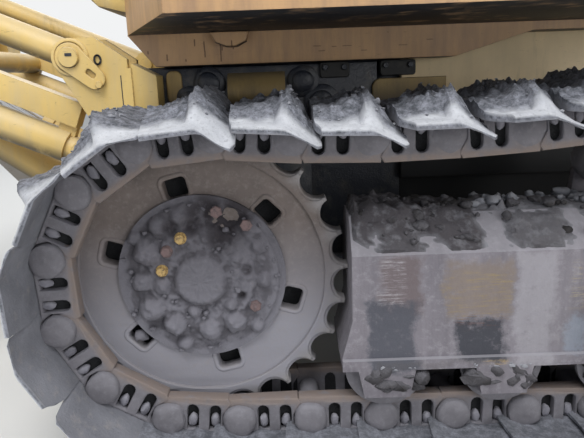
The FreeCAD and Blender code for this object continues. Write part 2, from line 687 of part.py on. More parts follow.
def make_fender():
    """Right fender: deck box over the track and the lower side box above the steering case."""
    deck = plate_z([(DECK_REAR_X, -DECK_EDGE_Y), (DECK_REAR_INNER_X, -CAB_HALF - 20),
                    (DECK_FRONT_X, -CAB_HALF - 20),
                    (DECK_FRONT_X, -DECK_EDGE_Y)], DECK_BOTTOM_Z, DECK_TOP_Z)
    low_front = DECK_FRONT_X - 20
    lower = plate_y([(DECK_REAR_INNER_X + 84, CASE_TOP_Z), (DECK_REAR_INNER_X, DECK_BOTTOM_Z),
                     (low_front, DECK_BOTTOM_Z),
                     (low_front, HOOD_BOTTOM_Z), (LOWER_BOX_FRONT_X, HOOD_BOTTOM_Z), (LOWER_BOX_RISE_X,
                                                                                      CASE_TOP_Z)],
                    -LOWER_BOX_Y, -CASE_HALF + 90)
    shelf = box(DECK_REAR_X, low_front, -LOWER_BOX_Y, -CASE_HALF + 90, DECK_BOTTOM_Z, CAB_FLOOR_Z)
    return joined([deck, lower, shelf])


def make_tank():
    rear = TANK_REAR_X
    front = CAB_REAR_X - 20
    outline = [(rear + 240, CAB_FLOOR_Z), (rear + 95, CAB_FLOOR_Z + 38), (rear, CAB_FLOOR_Z + 158),
               (rear, TANK_TOP_Z - 50),
               (rear + 40, TANK_TOP_Z), (front, TANK_TOP_Z), (front, CAB_FLOOR_Z)]
    return plate_y(outline, -CAB_HALF, CAB_HALF)


def make_cab_shell():
    """Hollow cab: floor, four walls with their window openings, and the two door openings."""
    outer = box(CAB_REAR_X, CAB_FRONT_X, -CAB_HALF, CAB_HALF, CAB_FLOOR_Z, CAB_TOP_Z)
    w = CAB_WALL
    cuts = [box(CAB_REAR_X + w, CAB_FRONT_X - w, -CAB_HALF + w, CAB_HALF - w, CAB_FLOOR_Z + 30,
                CAB_TOP_Z + 1),
            box(CAB_FRONT_X - w - 1, CAB_FRONT_X + 1, -CAB_HALF + 80, CAB_HALF - 80, 1900, CAB_TOP_Z - 70),
            box(CAB_REAR_X - 1, CAB_REAR_X + w + 1, -CAB_HALF + 90, CAB_HALF - 90, 2110, CAB_TOP_Z - 80)]
    for side in (-1, 1):
        y0, y1 = sorted((side * (CAB_HALF - w - 1), side * (CAB_HALF + 1)))
        cuts.append(box(DOOR_REAR_X - DOOR_GAP, DOOR_FRONT_X + DOOR_GAP, y0, y1, DOOR_BOTTOM_Z - DOOR_GAP,
                        DOOR_TOP_Z + DOOR_GAP))
        cuts.append(box(CAB_REAR_X + 90, DOOR_REAR_X - 90, y0, y1, 1720, CAB_TOP_Z - 80))
    shell = less(outer, cuts)
    knuckles = []
    for side in (-1, 1):
        axis_y = side * (CAB_HALF + DOOR_HINGE_OUT)
        y0, y1 = sorted((side * (CAB_HALF - 2), axis_y + side * 4))
        for z in DOOR_HINGES:
            z0, z1 = z - HINGE_LENGTH - HINGE_GAP, z - HINGE_GAP
            knuckles.append(cyl_z(DOOR_REAR_X, axis_y, HINGE_R, z0, z1))
            knuckles.append(box(DOOR_REAR_X - 70, DOOR_REAR_X, y0, y1, z0, z1))
    return joined([shell] + knuckles)


def make_cab_roof():
    outline = [(-30, CAB_TOP_Z), (-60, CAB_TOP_Z + 60), (-30, ROOF_TOP_Z), (1420, ROOF_TOP_Z),
               (1600, CAB_TOP_Z + 90), (1600, CAB_TOP_Z)]
    cap = plate_y(outline, -CAB_HALF - 60, CAB_HALF + 60)
    posts = []
    for side in (-1, 1):
        y0, y1 = sorted((side * (CAB_HALF + 2), side * (CAB_HALF + 60)))
        posts.append(box(-10, CAB_REAR_X + 95, y0, y1, DECK_TOP_Z, CAB_TOP_Z + 20))
    return joined([cap] + posts)


def make_cab_glass():
    """Front, rear and rear side panes, each filling its opening."""
    panes = [box(CAB_FRONT_X - 30, CAB_FRONT_X - 30 + GLASS, -CAB_HALF + 80, CAB_HALF - 80, 1900,
                 CAB_TOP_Z - 70),
             box(CAB_REAR_X + 20, CAB_REAR_X + 20 + GLASS, -CAB_HALF + 90, CAB_HALF - 90, 2110,
                 CAB_TOP_Z - 80)]
    for side in (-1, 1):
        y0, y1 = sorted((side * (CAB_HALF - 20), side * (CAB_HALF - 20 - GLASS)))
        panes.append(box(CAB_REAR_X + 90, DOOR_REAR_X - 90, y0, y1, 1720, CAB_TOP_Z - 80))
    return Part.makeCompound(panes)


def make_door():
    """Right door with its hinge knuckles, handle and window opening."""
    outer_y = -CAB_HALF
    leaf = box(DOOR_REAR_X, DOOR_FRONT_X, outer_y, outer_y + DOOR_THICK, DOOR_BOTTOM_Z, DOOR_TOP_Z)
    window = box(DOOR_REAR_X + DOOR_RAIL, DOOR_FRONT_X - DOOR_RAIL, outer_y - 1, outer_y + DOOR_THICK + 1,
                 DOOR_WAIST_Z, DOOR_TOP_Z - DOOR_RAIL)
    pieces = [leaf.cut(window)]
    for z in DOOR_HINGES:
        pieces.append(cyl_z(DOOR_REAR_X, outer_y - DOOR_HINGE_OUT, HINGE_R, z, z + HINGE_LENGTH))
        pieces.append(box(DOOR_REAR_X, DOOR_REAR_X + 70, outer_y - DOOR_HINGE_OUT - 4, outer_y + 2, z,
                          z + HINGE_LENGTH))
    pieces.append(box(DOOR_FRONT_X - 60, DOOR_FRONT_X - 38, outer_y - 45, outer_y + 1, 1560, 1580))
    pieces.append(box(DOOR_FRONT_X - 60, DOOR_FRONT_X - 38, outer_y - 45, outer_y + 1, 1800, 1820))
    pieces.append(box(DOOR_FRONT_X - 60, DOOR_FRONT_X - 38, outer_y - 45, outer_y - 25, 1560, 1820))
    return joined(pieces)


def make_door_glass():
    y = -CAB_HALF + 12
    return box(DOOR_REAR_X + DOOR_RAIL, DOOR_FRONT_X - DOOR_RAIL, y, y + GLASS, DOOR_WAIST_Z,
               DOOR_TOP_Z - DOOR_RAIL)


def make_seat():
    floor = CAB_FLOOR_Z + 30
    return joined([box(420, 760, -210, 210, floor, floor + 260),
                   box(380, 900, -250, 250, floor + 260, floor + 400),
                   plate_y([(380, floor + 380), (250, floor + 980), (370, floor + 980), (500, floor + 400)],
                           -230, 230)])


def make_console():
    floor = CAB_FLOOR_Z + 30
    dash = plate_y([(1290, floor), (1240, floor + 560), (CAB_FRONT_X - CAB_WALL, floor + 620),
                    (CAB_FRONT_X - CAB_WALL, floor)], -330, 330)
    left = joined([box(560, 860, 300, 420, floor, floor + 470),
                   cyl_z(800, 360, 22, floor + 460, floor + 600)])
    right = joined([box(560, 860, -420, -300, floor, floor + 470),
                    cyl_z(800, -360, 22, floor + 460, floor + 600)])
    return Part.makeCompound([dash, left, right])


def make_lamps():
    lamps = []
    for x0, x1, y in [(1545, 1600, 430), (1545, 1600, -430), (1545, 1600, 250), (1545, 1600, -250),
                      (-30, 20, 380), (-30, 20, -380)]:
        lamps.append(box(x0, x1, y - 70, y + 70, CAB_TOP_Z - 110, CAB_TOP_Z))
    return Part.makeCompound(lamps)


def make_handrails():
    """A rail on each side of the tank's top, on two posts a little thinner than the rail."""
    y = -CAB_HALF + 60
    rail = bar(V(RAIL_REAR_X, y, TANK_TOP_Z + RAIL_RISE), V(RAIL_FRONT_X, y, TANK_TOP_Z + RAIL_RISE), RAIL_R)
    posts = [cyl_z(x, y, RAIL_R - 3, TANK_TOP_Z, TANK_TOP_Z + RAIL_RISE) for x in (RAIL_REAR_X + 30,
                                                                                   RAIL_FRONT_X - 30)]
    return both_sides(joined([rail] + posts))


# Blade

def blade_face(offset):
    """Front curve of the mouldboard at a distance behind its face, bottom to top."""
    centre_x = BLADE_BACK_X + 110 + BLADE_FACE_R
    centre_z = BLADE_ARC_Z
    low = math.degrees(math.asin((BLADE_BOTTOM_Z - centre_z) / BLADE_FACE_R))
    high = math.degrees(math.asin((BLADE_TOP_Z - centre_z) / BLADE_FACE_R))
    points = []
    for i in range(15):
        angle = math.radians(low + (high - low) * i / 14)
        radius = BLADE_FACE_R + offset
        points.append((centre_x - radius * math.cos(angle), centre_z + radius * math.sin(angle)))
    return points


def make_blade():
    """Curved mouldboard with end plates, box ribs behind it and lugs for the lift rods and arms."""
    front = blade_face(0)
    back = blade_face(BLADE_SKIN)
    skin = plate_y(front + back[::-1], -BLADE_HALF, BLADE_HALF)
    rear = BLADE_BACK_X
    rim = [(x + 30, z) for x, z in front[2:13]]
    end = [front[0], (front[0][0] + 40, BLADE_BOTTOM_Z + 60)] + rim + [front[14], back[14]]
    end += [(rear, BLADE_TOP_Z - 110), (rear, BLADE_BOTTOM_Z + 50)]
    end_plates = [plate_y(end, -BLADE_HALF - 30, -BLADE_HALF), plate_y(end, BLADE_HALF, BLADE_HALF + 30)]
    rib_top = BLADE_BOTTOM_Z + 320
    low_rib = plate_y([(rear, BLADE_BOTTOM_Z + 30), (rear, rib_top), back[5], back[1]], -BLADE_HALF,
                      BLADE_HALF)
    top_rib = plate_y([(rear + 10, BLADE_TOP_Z - 160), (rear + 10, BLADE_TOP_Z - 80), back[13], back[11]],
                      -BLADE_HALF, BLADE_HALF)
    pieces = [skin, low_rib, top_rib] + end_plates
    for y in (-STRUT_Y, -900, 0, 900, STRUT_Y):
        gusset = [(rear, rib_top - 10), (rear, BLADE_TOP_Z - 150), back[12], back[8], back[4]]
        pieces.append(plate_y(gusset, y - 14, y + 14))
    x, z = LIFT_EYE
    root = rear + 40
    lug = [(rear + 8, BLADE_BOTTOM_Z + 40), (x + 20, z - 60), (x - 20, z - 58), (x - 60, z - 10),
           (x - 55, z + 30),
           (x - 10, z + 60), (rear + 8, z + 135), (root, z + 135), (root, BLADE_BOTTOM_Z + 40)]
    for s in (-1, 1):
        gap = LIFT_EYE_HALF + SIDE_GAP
        for t in (-1, 1):
            near = s * LIFT_CYLINDER_Y + t * gap
            pieces.append(plate_y(lug, near, near + t * 28))
        pieces.append(cyl_y(x, z, LIFT_PIN_R, s * LIFT_CYLINDER_Y - gap - 25, s * LIFT_CYLINDER_Y + gap + 25))
    return joined(pieces)


def make_cutting_edge():
    """Hard edge bolted to the front of the mouldboard's foot, reaching a little below it."""
    front = blade_face(0)
    x, z = front[0]
    tip_z = z - 38
    outline = [front[0], front[1], front[2], (front[2][0] + 26, front[2][1]), (x + 44, tip_z),
               (x + 14, tip_z)]
    return plate_y(outline, -BLADE_HALF, BLADE_HALF)


def make_push_arm():
    """Right push arm: box beam from the trunnion bearing to the foot of the blade."""
    y0, y1 = -(ARM_INNER_Y + ARM_WIDTH), -ARM_INNER_Y
    x, z = ARM_PIVOT_X, ARM_PIVOT_Z
    foot = BLADE_BACK_X
    beam = plate_y([(x, z - 95), (x, z + 95), (x + 400, z + 120), (foot - 500, z + 10), (foot, z - 58),
                    (foot, z - 300),
                    (foot - 500, z - 240), (x + 400, z - 130)], y0, y1)
    bearing = cyl_y(x, z, 112, y0, y1)
    sx, sz = STRUT_FOOT
    lug = plate_y([(sx - 140, z + 10), (sx - 80, sz), (sx, sz), (sx + 70, z + 10)], y0 + 30, y1 - 30)
    bore = cyl_y(x, z, ARM_PIVOT_R + PIN_CLEARANCE, y0 - 1, y1 + 1)
    return joined([beam, bearing, lug]).cut(bore)


def make_tilt_strut():
    """Round strut from the push arm up to the blade, with its thicker adjusting sleeve."""
    sx, sz = STRUT_FOOT
    start = V(sx, -STRUT_Y, sz)
    end = V(BLADE_BACK_X + 20, -STRUT_Y, STRUT_HEAD_Z)
    span = end - start
    strut = joined([bar(start, end, STRUT_R), bar(start + span * 0.28, start + span * 0.67, STRUT_R + 16)])
    y0, y1 = -STRUT_Y - 100, -STRUT_Y + 100
    below_lug = box(sx - 80, sx + 160, y0, y1, sz - 210, sz)
    in_blade = box(BLADE_BACK_X, BLADE_BACK_X + 300, y0, y1, STRUT_HEAD_Z - 200, STRUT_HEAD_Z + 200)
    return strut.cut([below_lug, in_blade])


def cylinder_line(base, tip, y):
    """Both pin places of a cylinder and the direction from its base to its rod's eye."""
    start = V(base[0], y, base[1])
    end = V(tip[0], y, tip[1])
    return start, end, (end - start).normalize()


def make_lift_barrel(side):
    y = side * LIFT_CYLINDER_Y
    start, end, along = cylinder_line(LIFT_TRUNNION, LIFT_EYE, y)
    low = start + along * LIFT_BELOW_TRUNNION
    high = start - along * (LIFT_STROKE + LIFT_BARREL_END - LIFT_BELOW_TRUNNION)
    tube = bar(high, low, LIFT_BARREL_R)
    head = bar(low - along * 60, low, LIFT_HEAD_R)
    collar = bar(start - along * 60, start + along * 60, LIFT_HEAD_R)
    pin = cyl_y(start.x, start.z, LIFT_TRUNNION_R, y - LIFT_BARREL_R - 60, y + LIFT_BARREL_R + 60)
    bore = bar(high + along * 40, low + along, LIFT_ROD_R + PIN_CLEARANCE)
    return joined([tube, head, collar, pin]).cut(bore)


def make_lift_rod(side):
    y = side * LIFT_CYLINDER_Y
    start, end, along = cylinder_line(LIFT_TRUNNION, LIFT_EYE, y)
    bore_r = LIFT_PIN_R + LIFT_EYE_DRIFT + PIN_CLEARANCE
    rod = bar(start - along * 130, end - along * (bore_r + 6), LIFT_ROD_R)
    eye = cyl_y(end.x, end.z, bore_r + 20, y - LIFT_EYE_HALF, y + LIFT_EYE_HALF)
    return joined([rod, eye]).cut(cyl_y(end.x, end.z, bore_r, y - LIFT_EYE_HALF - 1, y + LIFT_EYE_HALF + 1))


# Ripper

def rear_of(pin):
    rise = math.radians(RIPPER_RISE_DEG)
    return (pin[0] - RIPPER_LINK * math.cos(rise), pin[1] + RIPPER_LINK * math.sin(rise))


def raised(place, height):
    """A place moved square to the ripper's arm, upward."""
    rise = math.radians(RIPPER_RISE_DEG)
    return (place[0] + height * math.sin(rise), place[1] + height * math.cos(rise))


def round_plate(centre, radius, y0, y1):
    return cyl_y(centre[0], centre[1], radius, y0, y1)


def make_ripper_bracket():
    """Bracket on the rear of the case: back plate, four tall cheeks with both pins, and low cylinder lugs."""
    half = RIPPER_CHEEK_Y + RIPPER_GAP / 2 + CHEEK
    back = box(CASE_REAR_X - 30, CASE_REAR_X, -half, half, CASE_BOTTOM_Z + 60, CASE_TOP_Z)
    pieces = [back]
    lx, lz = LINK_PIN
    ax, az = ARM_PIN
    root = CASE_REAR_X - 10
    outline = [(root, lz - 10), (lx + 80, lz + LINK_EYE_R), (lx, lz + LINK_EYE_R),
               (lx - LINK_EYE_R + 6, lz - 24),
               (lx + 68, az + 90), (lx + 100, az + 55), (ax - 40, az + 62), (ax - 72, az), (ax - 40, az - 64),
               (root - 50, az - 175), (root, az - 255)]
    for s in (-1, 1):
        for t in (-1, 1):
            near = s * RIPPER_CHEEK_Y + t * RIPPER_GAP / 2
            far = near + t * CHEEK
            pieces += [plate_y(outline, near, far), round_plate(LINK_PIN, LINK_EYE_R, near, far),
                       round_plate(ARM_PIN, ARM_EYE_R, near, far)]
        reach = RIPPER_GAP / 2 + CHEEK + 14
        pieces.append(cyl_y(lx, lz, LINK_PIN_R, s * RIPPER_CHEEK_Y - reach, s * RIPPER_CHEEK_Y + reach))
        pieces.append(cyl_y(ax, az, ARM_PIN_R, s * RIPPER_CHEEK_Y - reach, s * RIPPER_CHEEK_Y + reach))
        step = [(CASE_REAR_X - 1, CASE_TOP_Z - 168), (CASE_REAR_X - 1, CASE_TOP_Z + 14),
                (CASE_REAR_X + 78, CASE_TOP_Z - 28),
                (CASE_REAR_X + 78, CASE_TOP_Z - 168)]
        pieces.append(plate_y(step, s * (CASE_HALF + 4), s * (LOWER_BOX_Y + 8)))
        ex, ez = RIPPER_BARREL_PIN
        lug = [(root, ez - 70), (root, ez + 150), (ex - 20, ez + 52), (ex - 55, ez + 10), (ex - 50, ez - 30),
               (ex - 10, ez - 56)]
        for t in (-1, 1):
            near = s * RIPPER_CYLINDER_Y + t * (RIPPER_EYE_WIDTH / 2 + SIDE_GAP)
            pieces.append(plate_y(lug, near, near + t * CHEEK))
        half = RIPPER_EYE_WIDTH / 2 + SIDE_GAP + CHEEK + 8
        pieces.append(cyl_y(ex, ez, RIPPER_PIN_R, s * RIPPER_CYLINDER_Y - half, s * RIPPER_CYLINDER_Y + half))
    return joined(pieces)


def make_upper_links():
    """Two equal round links, each with an eye at both ends."""
    start = LINK_PIN
    end = rear_of(LINK_PIN)
    y = -RIPPER_CHEEK_Y
    half = RIPPER_GAP / 2 - SIDE_GAP
    a = on_line(start, end, LINK_EYE_R - 15)
    b = on_line(end, start, LINK_EYE_R - 15)
    tube = bar(V(a[0], y, a[1]), V(b[0], y, b[1]), LINK_TUBE_R)
    eyes = [cyl_y(p[0], p[1], LINK_EYE_R, y - half, y + half) for p in (start, end)]
    bores = [cyl_y(p[0], p[1], LINK_PIN_R + PIN_CLEARANCE, y - half - 1, y + half + 1) for p in (start, end)]
    return both_sides(joined([tube] + eyes).cut(bores))


def make_ripper_arm():
    """Lower arm: on each side a round tube on the pin line with a box beam above it, and one cross tube."""
    end = rear_of(ARM_PIN)
    half = RIPPER_GAP / 2 - SIDE_GAP
    pieces = []
    bores = []
    for s in (-1, 1):
        y = s * RIPPER_CHEEK_Y
        a = on_line(ARM_PIN, end, 105)
        b = on_line(end, ARM_PIN, 105)
        pieces.append(bar(V(a[0], y, a[1]), V(b[0], y, b[1]), ARM_TUBE_R))
        a = on_line(ARM_PIN, end, 50)
        b = on_line(end, ARM_PIN, 50)
        pieces.append(bar(V(a[0], y, a[1]), V(b[0], y, b[1]), half - 4))
        pieces += [cyl_y(p[0], p[1], 70, y - half, y + half) for p in (ARM_PIN, end)]
        bores += [cyl_y(p[0], p[1], ARM_PIN_R + PIN_CLEARANCE, y - half - 1, y + half + 1) for p in (ARM_PIN,
                                                                                                     end)]
        c = on_line(ARM_PIN, end, 90)
        d = on_line(end, ARM_PIN, 130)
        front, back = raised(c, ARM_BEAM_RISE), raised(d, ARM_BEAM_RISE)
        pieces.append(square_bar(V(front[0], y, front[1]), V(back[0], y, back[1]), 64, 84))
        for q, other in [(c, end), (d, ARM_PIN)]:
            t = on_line(q, other, 60)
            pieces.append(plate_y([q, t, raised(t, 100), raised(q, 100)], y - 16, y + 16))
    mx, mz = raised(on_line(ARM_PIN, end, ARM_CROSS_PLACE), 90)
    pieces.append(bar(V(mx, -RIPPER_CHEEK_Y, mz), V(mx, RIPPER_CHEEK_Y, mz), 45))
    return joined(pieces).cut(bores)


def beam_bounds():
    """Rear and front X and lower and upper Z of the tool beam."""
    pin_x = min(rear_of(LINK_PIN)[0], rear_of(ARM_PIN)[0])
    pin_z = rear_of(ARM_PIN)[1]
    return pin_x - 305, pin_x - 95, pin_z - 60, pin_z + 190


def make_ripper_beam():
    """Tool beam with cheeks for both pairs of links, rod lugs in front and three shank pockets."""
    top = rear_of(LINK_PIN)
    low = rear_of(ARM_PIN)
    x0, x1, z0, z1 = beam_bounds()
    beam = box(x0, x1, -BEAM_HALF, BEAM_HALF, z0, z1)
    pieces = [beam]
    cheek = [(x1 - 10, z0), (low[0] + 20, low[1] - 62), (low[0] + 62, low[1]), (low[0] + 30, low[1] + 62),
             (top[0] + 40, top[1] - 50), (top[0] + 62, top[1]),
             (top[0] + 20, top[1] + 58), (top[0] - 30, top[1] + 58), (x1 - 10, z1)]
    for s in (-1, 1):
        for t in (-1, 1):
            near = s * RIPPER_CHEEK_Y + t * RIPPER_GAP / 2
            pieces.append(plate_y(cheek, near, near + t * CHEEK))
        reach = RIPPER_GAP / 2 + CHEEK + 10
        pieces.append(cyl_y(top[0], top[1], LINK_PIN_R, s * RIPPER_CHEEK_Y - reach,
                            s * RIPPER_CHEEK_Y + reach))
        pieces.append(cyl_y(low[0], low[1], ARM_PIN_R, s * RIPPER_CHEEK_Y - reach,
                            s * RIPPER_CHEEK_Y + reach))
        fx, fz = RIPPER_ROD_PIN
        lug = [(x1 - 10, z0 + 5), (fx + 20, fz - 56), (fx + 58, fz), (fx + 30, fz + 54), (x1 - 10, z1 - 40)]
        for t in (-1, 1):
            near = s * RIPPER_CYLINDER_Y + t * (RIPPER_EYE_WIDTH / 2 + SIDE_GAP)
            pieces.append(plate_y(lug, near, near + t * CHEEK))
        half = RIPPER_EYE_WIDTH / 2 + SIDE_GAP + CHEEK + 8
        pieces.append(cyl_y(fx, fz, RIPPER_PIN_R, s * RIPPER_CYLINDER_Y - half, s * RIPPER_CYLINDER_Y + half))
    pockets = []
    for y in SHANK_PLACES:
        pieces.append(box(x0 - 30, x0 + 180, y - 95, y + 95, z0 - 40, z1 + 30))
        pockets.append(box(x0 + 20, x0 + 130, y - 38, y + 38, z0 - 60, z1 + 60))
    return joined(pieces).cut(pockets)


def make_shanks():
    """Three ripper teeth in the beam's pockets: a straight shank with a foot that curves forward."""
    x0, x1, z0, z1 = beam_bounds()
    outline = [(x0 + 20, z1 + 55), (x0 + 130, z1 + 55), (x0 + 130, z0 - 120), (x0 + 150, z0 - 330),
               (x0 + 230, z0 - 480), (x0 + 340, z0 - 560),
               (x0 + 330, z0 - 585), (x0 + 190, z0 - 560), (x0 + 70, z0 - 420), (x0 + 24,
                                                                                 z0 - 240),
                                                                                 (x0 + 20, z0 - 100)]
    return Part.makeCompound([plate_y(outline, y - 38, y + 38) for y in SHANK_PLACES])


def make_ripper_barrel(side):
    y = side * RIPPER_CYLINDER_Y
    start, end, along = cylinder_line(RIPPER_BARREL_PIN, RIPPER_ROD_PIN, y)
    length = (end - start).Length - RIPPER_STROKE - 330
    close = start + along * 85
    head = start + along * (length + 110)
    half = RIPPER_EYE_WIDTH / 2
    pieces = [bar(close, head, RIPPER_BARREL_R), bar(head - along * 50, head, RIPPER_BARREL_R + 7),
              bar(start + along * 40, close + along * 20, half - 4),
              cyl_y(start.x, start.z, 56, y - half, y + half)]
    cuts = [cyl_y(start.x, start.z, RIPPER_PIN_R + PIN_CLEARANCE, y - half - 40, y + half + 40),
            bar(close + along * 60, head + along, RIPPER_ROD_R + PIN_CLEARANCE)]
    return joined(pieces).cut(cuts)


def make_ripper_rod(side):
    y = side * RIPPER_CYLINDER_Y
    start, end, along = cylinder_line(RIPPER_BARREL_PIN, RIPPER_ROD_PIN, y)
    half = RIPPER_EYE_WIDTH / 2
    bore_r = RIPPER_PIN_R + RIPPER_EYE_DRIFT + PIN_CLEARANCE
    rod = bar(start + along * 330, end - along * (bore_r + 6), RIPPER_ROD_R)
    eye = cyl_y(end.x, end.z, bore_r + 20, y - half, y + half)
    return joined([rod, eye]).cut(cyl_y(end.x, end.z, bore_r, y - half - 1, y + half + 1))


door = make_door()
door_glass = make_door_glass()
PARTS = {
    "track_right": make_track(-1),
    "track_left": make_track(1),
    "sprockets": both_sides(make_sprocket()),
    "idlers": both_sides(make_idler()),
    "rollers": make_rollers(),
    "track_frames": both_sides(make_track_frame()),
    "final_drives": both_sides(make_final_drive()),
    "steering_case": make_steering_case(),
    "main_frame": make_main_frame(),
    "equalizer_bar": make_equalizer_bar(),
    "engine": make_engine(),
    "radiator": make_radiator(),
    "radiator_guard": make_guard(),
    "grille": make_grille(),
    "hood": make_hood(),
    "exhaust_stack": make_exhaust(),
    "pre_cleaner": make_pre_cleaner(),
    "fenders": both_sides(make_fender()),
    "fuel_tank": make_tank(),
    "cab_shell": make_cab_shell(),
    "cab_roof": make_cab_roof(),
    "cab_glass": make_cab_glass(),
    "door_right": door,
    "door_left": mirrored(door),
    "door_glass_right": door_glass,
    "door_glass_left": mirrored(door_glass),
    "seat": make_seat(),
    "console": make_console(),
    "work_lamps": make_lamps(),
    "handrails": make_handrails(),
    "blade": make_blade(),
    "cutting_edge": make_cutting_edge(),
    "push_arms": both_sides(make_push_arm()),
    "tilt_struts": both_sides(make_tilt_strut()),
    "lift_barrel_right": make_lift_barrel(-1),
    "lift_barrel_left": make_lift_barrel(1),
    "lift_rod_right": make_lift_rod(-1),
    "lift_rod_left": make_lift_rod(1),
    "ripper_bracket": make_ripper_bracket(),
    "upper_links": make_upper_links(),
    "ripper_arm": make_ripper_arm(),
    "ripper_beam": make_ripper_beam(),
    "ripper_shanks": make_shanks(),
    "ripper_barrel_right": make_ripper_barrel(-1),
    "ripper_barrel_left": make_ripper_barrel(1),
    "ripper_rod_right": make_ripper_rod(-1),
    "ripper_rod_left": make_ripper_rod(1),
}

bounds = Part.makeCompound(list(PARTS.values())).BoundBox
SHIFT = V(-(bounds.XMin + bounds.XMax) / 2, 0, -bounds.ZMin)
print("shift", round(SHIFT.x, 3), round(SHIFT.z, 3), "idler", round(IDLER_X, 2))
print("size", round(bounds.XLength, 1), round(bounds.YLength, 1), round(bounds.ZLength, 1), "y",
      round(bounds.YMin, 1), round(bounds.YMax, 1))

os.makedirs("parts", exist_ok=True)
for name, shape in PARTS.items():
    moved = shape.copy()
    moved.translate(SHIFT)
    moved.exportStep("parts/" + name + ".step")
    if not shape.isValid():
        print("invalid", name)
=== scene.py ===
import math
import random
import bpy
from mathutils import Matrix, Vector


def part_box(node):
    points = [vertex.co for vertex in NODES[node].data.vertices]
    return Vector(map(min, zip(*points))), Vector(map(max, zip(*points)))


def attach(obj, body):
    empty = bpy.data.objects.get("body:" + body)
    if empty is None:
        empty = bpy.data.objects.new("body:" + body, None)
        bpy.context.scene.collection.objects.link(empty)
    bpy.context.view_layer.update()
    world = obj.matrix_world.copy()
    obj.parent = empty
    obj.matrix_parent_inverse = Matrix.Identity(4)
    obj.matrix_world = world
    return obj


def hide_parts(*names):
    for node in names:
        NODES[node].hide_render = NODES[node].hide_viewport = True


bl_info = {
    "name": "Crawler bulldozer",
    "version": (1, 0, 0),
    "blender": (4, 5, 0),
    "location": "View3D > Sidebar > Bulldozer",
    "description": "Dresses the packed model of a muddy crawler bulldozer with its chain, shoes, sprockets, mud and paint",
    "category": "Object",
}

import bmesh
import bpy
import numpy as np
from mathutils import Matrix, Vector, noise

# The noise that shakes worn surfaces starts from the clock unless it has a seed
noise.seed_set(7)

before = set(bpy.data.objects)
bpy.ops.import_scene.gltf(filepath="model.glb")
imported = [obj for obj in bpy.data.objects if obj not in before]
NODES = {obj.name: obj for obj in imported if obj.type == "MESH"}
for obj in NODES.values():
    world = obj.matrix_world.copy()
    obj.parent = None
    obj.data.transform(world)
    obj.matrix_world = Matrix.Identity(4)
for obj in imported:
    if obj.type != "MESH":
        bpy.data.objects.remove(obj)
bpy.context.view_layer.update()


def box_middle(node):
    low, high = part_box(node)
    return (Vector(low) + Vector(high)) / 2


SPROCKET = box_middle("sprockets")
HALF_GAUGE = abs(box_middle("track_right").y)


# Sizes and colours that a user would change

class ChainSizes(bpy.types.PropertyGroup):
    pitch: bpy.props.FloatProperty(name="Link pitch", description="Distance between two pins", default=0.2032, unit="LENGTH")
    shoe_width: bpy.props.FloatProperty(name="Shoe width", description="Width of a shoe across the track", default=0.56, unit="LENGTH")
    shoe_thick: bpy.props.FloatProperty(name="Shoe thickness", description="Thickness of the shoe plate", default=0.013, unit="LENGTH")
    grouser: bpy.props.FloatProperty(name="Grouser height", description="Height of the bar on each shoe", default=0.05, unit="LENGTH")
    mud_thick: bpy.props.FloatProperty(name="Mud crust", description="Thickness of the crust on the upper shoes", default=0.014, unit="LENGTH")


class SprocketSizes(bpy.types.PropertyGroup):
    teeth: bpy.props.IntProperty(name="Teeth", description="Number of teeth", default=25)
    tip_radius: bpy.props.FloatProperty(name="Tip radius", description="Radius over the tooth tips", default=0.414, unit="LENGTH")
    root_radius: bpy.props.FloatProperty(name="Root radius", description="Radius at the bottom of the gaps", default=0.3745, unit="LENGTH")
    hole_circle: bpy.props.FloatProperty(name="Hole circle", description="Radius on which the six web holes lie", default=0.262, unit="LENGTH")


class FinishColours(bpy.types.PropertyGroup):
    enamel: bpy.props.StringProperty(name="Enamel", description="Machine enamel, sRGB hex", default="#E6C67B")
    dry_mud: bpy.props.StringProperty(name="Dry mud", description="Dried clay on upright faces, sRGB hex", default="#8B8380")
    pale_mud: bpy.props.StringProperty(name="Pale mud", description="Dried clay on faces that look up, sRGB hex", default="#CDCBCE")
    damp_mud: bpy.props.StringProperty(name="Damp mud", description="Clay that is still damp, sRGB hex", default="#4B433D")


class CameraPlace(bpy.types.PropertyGroup):
    aside: bpy.props.FloatProperty(name="Aside", description="Distance from the track's middle plane", default=1.6527, unit="LENGTH")
    ahead: bpy.props.FloatProperty(name="Ahead", description="Distance ahead of the sprocket's axis", default=0.2648, unit="LENGTH")
    above: bpy.props.FloatProperty(name="Above", description="Height over the sprocket's axis", default=0.5418, unit="LENGTH")
    yaw: bpy.props.FloatProperty(name="Yaw", description="Turn toward the machine's front", default=-0.00304, subtype="ANGLE")
    pitch: bpy.props.FloatProperty(name="Pitch", description="Downward look", default=0.23172, subtype="ANGLE")
    roll: bpy.props.FloatProperty(name="Roll", description="Tilt of the frame", default=-0.03657, subtype="ANGLE")
    focal: bpy.props.FloatProperty(name="Focal length", description="For a 36 mm wide sensor, in millimetres", default=37.01)


# Mesh tools

def closed_spline(curve, points):
    spline = curve.splines.new("POLY")
    spline.points.add(len(points) - 1)
    for point, (x, y) in zip(spline.points, points):
        point.co = (x, y, 0, 1)
    spline.use_cyclic_u = True


def plate(outlines, half_thick, edge, steps=1):
    """Flat plate in the UV plane with rounded edges, its first outline outside and the others holes."""
    curve = bpy.data.curves.new("plate", "CURVE")
    curve.dimensions = "2D"
    curve.fill_mode = "BOTH"
    for points in outlines:
        closed_spline(curve, points)
    curve.extrude = half_thick - edge
    curve.bevel_depth = edge
    curve.bevel_resolution = steps
    curve.offset = -edge
    holder = bpy.data.objects.new("plate", curve)
    mesh = bpy.data.meshes.new_from_object(holder)
    verts, faces = mesh_lists(mesh)
    bpy.data.objects.remove(holder)
    bpy.data.curves.remove(curve)
    bpy.data.meshes.remove(mesh)
    return verts, faces


